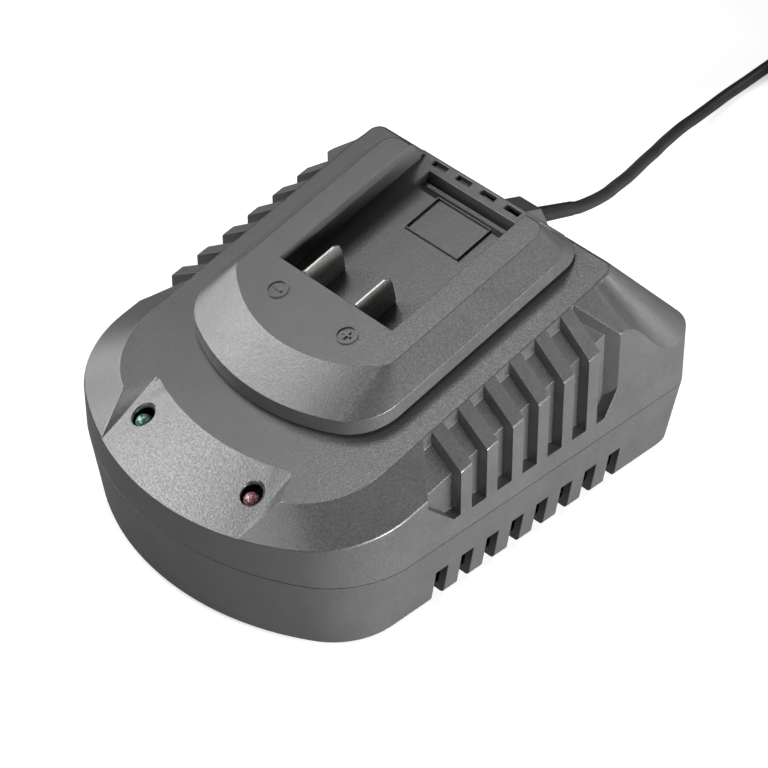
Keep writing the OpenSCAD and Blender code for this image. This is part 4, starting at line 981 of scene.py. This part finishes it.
def makeLamp(name, x):
    base = panel["boardZ"] + panel["board"]
    flange = panel["lampWidth"] / 2 + panel["flangeOver"]
    r = flange - panel["flangeStep"]
    top = panelZ - panel["lampSink"]
    shoulder = top - r
    stations = [(flange - 0.1, base), (flange, base + 0.1), (flange, base + 0.9), (r, base + 1)]
    stations += [(r * math.cos(a * math.pi / 40), shoulder + r * math.sin(a * math.pi / 40))
                 for a in range(20)]
    return smoothFaces(roundBar(name, stations, place=(x, lampY, 0), count=48), 40)


finishPiece(makeLamp("greenLamp", -panel["lampX"]), "greenEpoxy", ["green_lamp"])
finishPiece(makeLamp("redLamp", panel["lampX"]), "redEpoxy", ["red_lamp"])
print("blades and lamps done")

# ---- mains lead ----

lead = {
    "width": 4.4, "length": 1.5,
    "coilCentre": (-25, 284), "coilRadius": 24, "coilLift": 0.6, "coilTurns": 8.375, "coilSteps": 20,
    "moveStep": 1 / 12,
    "plugTurn": -45, "plugZ": 7, "plugReach": 20,
}
rootPoint = Vector(cordExit["root"])
reliefEnd = rootPoint + exitWay * cordExit["reliefLength"]
leadRoute = [
    (0, 97, 51.3), (-1.5, 103.5, 48.5), (-4, 111, 45), (-7.5, 120.5, 40.8), (-12.5, 130.3, 35.8),
    (-17, 141, 31.4), (-22.5, 152, 26.4), (-28, 163, 21.6), (-33, 174.2, 17.2), (-38, 184.5, 13),
    (-42, 194, 9.6), (-45.3, 203.3, 6.9), (-47.5, 212, 4.9), (-49.2, 220, 3.6), (-50.5, 227.5, 2.8),
    (-51.4, 234, 2.4), (-51.9, 240.3, 2.2), (-52.2, 246.5, 2.2), (-52.6, 252.7, 2.2), (-53, 259, 2.2),
    (-53.3, 265, 2.4), (-53.4, 270, 2.8),
]
# slots of the coil as (ring, layer), from the way in to the way out
coilSlots = [(1, 0), (0, 0), (-1, 0), (-1, 1), (-1, 2), (0, 2), (0, 1), (1, 1), (1, 2)]
plugWay = Vector((math.cos(math.radians(lead["plugTurn"])), math.sin(math.radians(lead["plugTurn"])), 0))
coilExit = (Vector((*lead["coilCentre"], 0))
            + (lead["coilRadius"] + lead["width"]) * Vector((-plugWay.y, plugWay.x, 0)))
plugStart = coilExit + lead["plugReach"] * plugWay + Vector((0, 0, lead["plugZ"]))


def coilPoint(turns):
    # place after that many turns; each move to the next slot comes earlier in its turn than the one before
    spacing = 1 - lead["moveStep"]
    place = min(turns / spacing, len(coilSlots) - 1)
    index = int(place) if place < len(coilSlots) - 1 else len(coilSlots) - 2
    start = (index + 1) * spacing
    previous = index * spacing
    # between two starts the cord keeps its slot, then moves within moveStep
    if index > 0 and turns < previous + lead["moveStep"]:
        a, b, t = coilSlots[index - 1], coilSlots[index], (turns - previous) / lead["moveStep"]
    elif turns >= start:
        a, b, t = coilSlots[index], coilSlots[index + 1], min(1, (turns - start) / lead["moveStep"])
    else:
        a = b = coilSlots[index]
        t = 0
    ring, layer = (mix(a[k], b[k], smoothStep(t)) for k in (0, 1))
    radius = lead["coilRadius"] + ring * lead["width"]
    angle = math.pi - 2 * math.pi * turns
    x, y = lead["coilCentre"]
    return (x + radius * math.cos(angle), y + radius * math.sin(angle),
            lead["coilLift"] + (layer + 0.5) * lead["width"])


def leadPoints():
    points = [tuple(rootPoint), tuple(rootPoint + exitWay * 9), tuple(reliefEnd)] + leadRoute
    count = round(lead["coilTurns"] * lead["coilSteps"])
    points += [coilPoint(lead["coilTurns"] * i / count) for i in range(count + 1)]
    top = lead["coilLift"] + 2.5 * lead["width"]
    heights = [(4, top), (8, top - 0.8), (12, top - 2.4), (16, lead["plugZ"] + 0.9),
               (lead["plugReach"], lead["plugZ"])]
    points += [tuple(coilExit + plugWay * s + Vector((0, 0, z))) for s, z in heights]
    points.append(tuple(plugStart + plugWay * 4))
    return points


def curvePiece(name, points, width):
    curve = bpy.data.curves.new(name, "CURVE")
    curve.dimensions, curve.resolution_u = "3D", 5
    curve.bevel_depth, curve.bevel_resolution, curve.use_fill_caps = width / 2 * mm, 5, True
    spline = curve.splines.new("BEZIER")
    spline.bezier_points.add(len(points) - 1)
    for spot, place in zip(spline.bezier_points, points):
        spot.co = [c * mm for c in place]
        spot.handle_left_type = spot.handle_right_type = "AUTO"
    piece = newObject(name, curve)
    curve.materials.append(materials["pvcJacket"])
    return piece


mainsLead = curvePiece("mainsLead", leadPoints(), lead["width"])
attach(mainsLead, "root")
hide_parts("mains_cord", "cord_coil", "cord_tail")
print("mains lead done")

# ---- strain relief, tie strap and plug ----

relief = {"flange": 4.5, "flangeDepth": 1.8, "bore": 1.7, "endRound": 0.4}
strap = {"width": 8, "thickness": 0.6, "turn": 110, "cornerRound": 0.9, "layers": 3}
plug = {
    "relief": 22, "length": 35, "halfWidth": 15.5, "halfHeight": 7, "shoulder": 12, "square": 2.7,
    "grooves": 6, "grooveDepth": 0.55, "endRound": 1.6, "pinGap": 18.4, "pinWidth": 3.9, "pinLength": 19,
    "pinSink": 7.9, "pinShow": 6.9, "seatWidth": 4, "seatDepth": 8, "neckRadius": 4.5, "reliefOver": 0.5,
}


def makeRelief():
    r0, r1, depth = cordExit["reliefStart"] / 2, cordExit["reliefEnd"] / 2, cordExit["hoodDepth"]
    length, edge = cordExit["reliefLength"], relief["endRound"]
    back = depth + relief["flangeDepth"]
    rim = relief["flange"]
    stations = [(rim - 0.3, -back), (rim, -back + 0.3), (rim, -depth - 0.3), (rim - 0.3, -depth),
                (r0, -depth), (r0, 0), (mix(r0, r1, 1 - edge / length), length - edge),
                (r1 - edge * 0.3, length - edge * 0.3), (r1 - edge, length)]
    sleeve = roundBar("cordRelief", stations, exitTurn, cordExit["root"], 48)
    return cut(sleeve, roundBar("reliefBore", [(relief["bore"], -back - 1), (relief["bore"], 0.2)],
                                exitTurn, cordExit["root"], 32))


def makeStrap():
    # a closed band round the turns of the coil
    half, thick, spacing = strap["width"] / 2, strap["thickness"], lead["width"]
    bundle = 1.5 * spacing
    inner = math.sqrt((lead["coilRadius"] - bundle) ** 2 - half ** 2) - seam / 2
    outer = lead["coilRadius"] + bundle + seam / 2
    low, high = lead["coilLift"], lead["coilLift"] + strap["layers"] * spacing + seam
    turn = Matrix.Rotation(math.radians(strap["turn"]), 3, "Z")
    r = strap["cornerRound"]
    corners = [(outer - r, low + r, -90), (outer - r, high - r, 0), (inner + r, high - r, 90),
               (inner + r, low + r, 180)]
    path = [(x, z, math.radians(start + 90 * i / 6)) for x, z, start in corners for i in range(7)]
    rings = []
    for x, z, a in path:
        near, far = ((x + k * math.cos(a), z + k * math.sin(a)) for k in (r, r + thick))
        rings.append(turned([(near[0], -half, near[1]), (far[0], -half, far[1]),
                             (far[0], half, far[1]), (near[0], half, near[1])],
                            turn, (*lead["coilCentre"], 0)))
    band = loft("tieStrap", rings, closed=True)
    walk = [0]
    for a, b in zip(rings, rings[1:] + rings[:1]):
        walk.append(walk[-1] + (Vector(b[1]) - Vector(a[1])).length)
    layer = band.data.uv_layers.new(name="UVMap")
    across = (0, thick, thick + 2 * half, 2 * thick + 2 * half)
    for face in band.data.polygons:
        spots = [divmod(band.data.loops[i].vertex_index, 4) for i in face.loop_indices]
        wraps = max(k for k, _ in spots) - min(k for k, _ in spots) > 1
        turns = max(c for _, c in spots) - min(c for _, c in spots) > 2
        for i, (k, c) in zip(face.loop_indices, spots):
            u = walk[len(rings)] if wraps and k == 0 else walk[k]
            v = 2 * across[3] - across[2] if turns and c == 0 else across[c]
            layer.data[i].uv = (u * mm, v * mm)
    return band


plugTurn = Matrix.Rotation(math.radians(lead["plugTurn"]), 3, "Z")


def plugRing(x, w, h, square, count=64):
    points = []
    for i in range(count):
        a = 2 * math.pi * i / count
        across, up = (size * math.copysign(abs(c) ** (2 / square), c)
                      for size, c in ((w, math.cos(a)), (h, math.sin(a))))
        points.append((x, across, up))
    return turned(points, plugTurn, plugStart)


def pinBar(name, stations, side):
    # round bar along one of the plug's two pins
    return roundBar(name, stations, plugTurn @ Matrix.Rotation(math.pi / 2, 3, "Y"),
                    plugStart + plugTurn @ Vector((0, side * plug["pinGap"] / 2, 0)), 32)


def makePlug():
    neck, end, neckRadius = plug["relief"], plug["relief"] + plug["length"], plug["neckRadius"]
    start = lead["width"] / 2 + plug["reliefOver"]
    rings = []
    pitch = (neck - 4) / plug["grooves"]
    # bend relief with grooves round it
    for k in range(plug["grooves"]):
        for share, depth in ((0, 0), (0.55, 0), (0.62, 1), (0.93, 1)):
            x = 1 + (k + share) * pitch
            r = mix(start, neckRadius, x / neck) - depth * plug["grooveDepth"]
            rings.append(plugRing(x, r, r, 2))
    rings.insert(0, plugRing(0, start, start, 2))
    # shoulders, body and rounded end face
    for i in range(13):
        t = smoothStep(i / 12)
        rings.append(plugRing(neck - 2.4 + (plug["shoulder"] + 2.4) * i / 12,
                              mix(neckRadius, plug["halfWidth"], t),
                              mix(neckRadius, plug["halfHeight"], smoothStep(i / 9)),
                              mix(2, plug["square"], t)))
    edge = plug["endRound"]
    for i in range(6):
        a = math.pi / 2 * i / 5
        shrink = edge * (1 - math.cos(a))
        rings.append(plugRing(end - edge + edge * math.sin(a), plug["halfWidth"] - shrink,
                              plug["halfHeight"] - shrink, plug["square"]))
    body = loft("plugBody", rings)
    r, seat = plug["seatWidth"] / 2, end - plug["seatDepth"]
    cut(body, *[pinBar("pinSeat", [(r, seat), (r, end + 2)], side) for side in (-1, 1)])
    return softenEdges(body, 0.15, 60, 1)


def makePins():
    r, start = plug["pinWidth"] / 2, plug["relief"] + plug["length"] - plug["pinSink"]
    tip = start + plug["pinShow"] + plug["pinLength"]
    stations = [(r, start), (r, tip), (r - 0.1, tip + 0.25), (r - 0.4, tip + 0.75), (1.2, tip + 1.1),
                (0.7, tip + 1.2)]
    return join(*[pinBar("plugPin", stations, side) for side in (-1, 1)])


cordPieces = [finishPiece(smoothFaces(piece, 40), material, [node]) for piece, material, slot, node in (
    (makeRelief(), "pvcJacket", "cord_rubber", "cord_relief"),
    (makeStrap(), "nylonStrap", "tie_strap", "cord_tie"),
    (makePlug(), "pvcPlug", "plug_plastic", "plug_body"),
    (makePins(), "plugPinNickel", "pin_brass", "plug_pins"))]
print("strain relief, strap and plug done")

# ---- feet and screws ----

feet = {"width": 10.6, "edge": 0.6, "height": 1.8, "round": 0.35}
# widths, heights and thread of each set of screws
screwSets = {
    "housing": {"head": 6.4, "headHeight": 2.4, "shank": 3, "length": 20, "pitch": 1.3, "thread": 0.28},
    "dock": {"head": 5.6, "headHeight": 2, "shank": 2.7, "length": 9, "pitch": 1.1, "thread": 0.25},
    "board": {"head": 5, "headHeight": 1.8, "shank": 2.5, "length": 6.5, "pitch": 1, "thread": 0.22},
    "lampBoard": {"head": 4, "headHeight": 1.5, "shank": 2, "length": 7, "pitch": 0.9, "thread": 0.2},
    "clamp": {"head": 5, "headHeight": 1.8, "shank": 2.5, "length": 7.8, "pitch": 1, "thread": 0.22},
}


def makeFoot():
    r, edge = feet["width"] / 2, feet["round"]
    return smoothFaces(roundBar("foot", [
        (r - feet["edge"] - edge, 0), (r - feet["edge"], edge * 0.3), (r - 0.1, feet["edge"]),
        (r, feet["edge"] + 0.15), (r, feet["height"])], count=48))


def makeScrew(look, rise=0):
    # head below the origin with a cross in it, threaded shank above; rise moves it along its axis
    head, shank = look["head"] / 2, look["shank"] / 2
    neck = shank - look["thread"] - 0.06
    screw = roundBar("screw", [
        (head * 0.55, -look["headHeight"]), (head * 0.82, -look["headHeight"] * 0.9),
        (head * 0.96, -look["headHeight"] * 0.6), (head, -look["headHeight"] * 0.3), (head, 0),
        (neck, 0), (neck, look["length"] * 0.1)], count=24)
    steps = int(look["length"] * 0.82 / look["pitch"] * 6)
    rings = []
    for k in range(steps + 1):
        z = look["length"] * 0.05 + look["length"] * 0.85 * k / steps
        fade = min(1, (steps - k) / 8)
        ring = []
        for i in range(24):
            phase = (z / look["pitch"] - i / 24) % 1
            ridge = max(0, 1 - abs(phase - 0.5) * 4)
            r = shank - look["thread"] * (1 - ridge * fade)
            ring.append((r * math.cos(math.pi * i / 12), r * math.sin(math.pi * i / 12), z))
        rings.append(ring)
    rings.append(circle(shank * 0.35, look["length"], 24))
    join(screw, loft("thread", rings))
    long, thin, depth = look["head"] * 0.3, look["head"] * 0.06, look["headHeight"]
    for a, b in ((long, thin), (thin, long)):
        cut(screw, loft("cross", [[(-a, -b, z), (a, -b, z), (a, b, z), (-a, b, z)]
                                  for z in (-depth - 1, -depth * 0.5)]))
    screw.data.transform(Matrix.Translation((0, 0, rise * mm)))
    return smoothFaces(screw, 40)


def setOut(name, piece, places, node, turn=(0, 0, 0), material="zincSteel"):
    # one foot or screw copied to its places
    finishPiece(scattered(name, piece, places, material, turn), material, [node])


wellTop = bars["well"][2]
boardTop = 10.6
clampScrewZ = deckZ(clampPlaces[0][1]) - 11.8 - 3.4  # below the floor, the boss and the clamp
tilt = (math.radians(housing["deckTilt"]), 0, 0)
setOut("rubberFeet", makeFoot(), [(x, y, 0) for x, y in footPlaces], "rubber_feet",
       material="footRubber")
for name, kind, places, node, rise, turn in (
        ("housingScrews", "housing", [(x, y, wellTop) for x, y in housingScrewPlaces],
         "housing_screws", 0, (0, 0, 0)),
        ("dockScrews", "dock", [(x, y, deckZ(y)) for x, y in dockScrewPlaces], "dock_screws", -wall, tilt),
        ("boardScrews", "board", [(x, y, boardTop) for x, y in boardHoles],
         "board_screws", 0, (math.pi, 0, 0)),
        ("lampBoardScrews", "lampBoard", [(x, y, panel["boardZ"]) for x, y in lampPostPlaces],
         "lamp_board_screws", 0, (0, 0, 0)),
        ("clampScrews", "clamp", [(x, y, clampScrewZ) for x, y in clampPlaces],
         "clamp_screws", 0, (0, 0, 0))):
    setOut(name, makeScrew(screwSets[kind], rise), places, node, turn)
print("feet and screws done")

# ---- finishes of the CAD pieces that stay ----

keptNodes = {
    "terminal_block": "blackPbt", "lamp_board": "solderResist", "main_board": "solderResist",
    "mains_fuse": "fuseGlass", "fuse_clips": "fuseClipBrass", "film_capacitor": "yellowPolyester",
    "line_choke": "enamelledCopper", "bridge_rectifier": "blackPbt", "bulk_capacitor": "canSleeve",
    "switching_transistor": "blackPbt", "primary_heat_sink": "extrudedAluminium",
    "transformer_core": "sinteredFerrite", "transformer_winding": "yellowPolyester",
    "output_rectifier": "blackPbt", "secondary_heat_sink": "extrudedAluminium",
    "output_capacitors": "canSleeve", "control_chip": "blackPbt", "mains_connector": "paleNylon",
    "battery_connector": "paleNylon", "cord_clamp": "blackPbt", "inner_jacket": "pvcJacket",
    "live_wire": "brownWire", "neutral_wire": "blueWire", "minus_wire": "blackWire", "plus_wire": "redWire",
    "lamp_wires": "greyRibbon",
}
for node, material in keptNodes.items():
    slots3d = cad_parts[node].data.materials
    slots3d.clear()
    slots3d.append(materials[material])
print("kept pieces finished")

# ---- light and floor ----

studio = {
    # azimuth from the nose towards the right side, elevation, width and height in metres, power in watts,
    # and whether it shows as a glint
    "leftLow": (275, 8, 0.4, 0.4, 1.3), "leftMid": (275, 28, 0.4, 0.4, 2.1),
    "noseLeftMid": (300, 28, 0.4, 0.4, 2.7), "noseLeftHigh": (300, 48, 0.4, 0.4, 3.7),
    "noseHigh": (325, 48, 0.4, 0.4, 2.0), "leftTop": (250, 66, 0.4, 0.4, 2.1),
    "nose": (355, 36, 0.4, 0.4, 1.9), "right": (86, 8, 0.6, 0.3, 22),
    "rightRear": (108, 8, 0.6, 0.3, 32, False), "rear": (165, 42, 0.5, 0.5, 1.2),
}
room = {
    "lampDistance": 1.2, "aim": (0, 0, 0.04), "ambient": 0.02, "floor": "#e8e8e8",
    "floorSeenByObject": "#949494", "floorGlow": 0.45, "floorReach": 3000,
}


def areaLamp(name, azimuth, elevation, width, height, power, glint=True):
    lamp = bpy.data.lights.new(name, "AREA")
    lamp.shape, lamp.size, lamp.size_y, lamp.energy = "RECTANGLE", width, height, power
    holder = bpy.data.objects.new(name, lamp)
    bpy.context.collection.objects.link(holder)
    a, e = math.radians(azimuth), math.radians(elevation)
    spot = Vector((math.sin(a) * math.cos(e), -math.cos(a) * math.cos(e), math.sin(e))) * room["lampDistance"]
    turn = (Vector(room["aim"]) - spot).to_track_quat("-Z", "Y").to_matrix().to_4x4()
    holder.matrix_world = Matrix.Translation(spot) @ turn
    holder.visible_glossy = glint


for name, look in studio.items():
    areaLamp(name + "Lamp", *look)


def makeWorld():
    world = bpy.data.worlds.new("studioWorld")
    bpy.context.scene.world = world
    world.use_nodes = True
    tree = world.node_tree
    tree.nodes.clear()
    path = addNode(tree, "ShaderNodeLightPath")
    plain = addNode(tree, "ShaderNodeBackground", {"Color": (1, 1, 1, 1), "Strength": room["ambient"]})
    white = addNode(tree, "ShaderNodeBackground", {"Color": (1, 1, 1, 1), "Strength": 1.0})
    both = addNode(tree, "ShaderNodeMixShader", {
        0: path.outputs["Is Camera Ray"], 1: plain.outputs[0], 2: white.outputs[0]})
    addNode(tree, "ShaderNodeOutputWorld", {"Surface": both.outputs[0]})


def makeFloor():
    material, tree = newMaterial("studioPaper")
    path = addNode(tree, "ShaderNodeLightPath")
    paper = addNode(tree, "ShaderNodeBsdfDiffuse", {"Color": linearColour(room["floor"])})
    dull = addNode(tree, "ShaderNodeBsdfDiffuse", {"Color": linearColour(room["floorSeenByObject"])})
    glow = addNode(tree, "ShaderNodeEmission", {"Color": (1, 1, 1, 1), "Strength": room["floorGlow"]})
    lit = addNode(tree, "ShaderNodeAddShader", {0: paper.outputs[0], 1: glow.outputs[0]})
    both = addNode(tree, "ShaderNodeMixShader", {
        0: path.outputs["Is Camera Ray"], 1: dull.outputs[0], 2: lit.outputs[0]})
    addNode(tree, "ShaderNodeOutputMaterial", {"Surface": both.outputs[0]})
    reach = room["floorReach"]
    corners = [(-reach, -reach, 0), (reach, -reach, 0), (reach, reach, 0), (-reach, reach, 0)]
    floor = meshPiece("studioFloor", corners, [(0, 1, 2, 3)], recalculate=False)
    floor.data.materials.append(material)


makeWorld()
makeFloor()
bpy.context.scene.view_settings.view_transform = "Standard"
print("studio done")
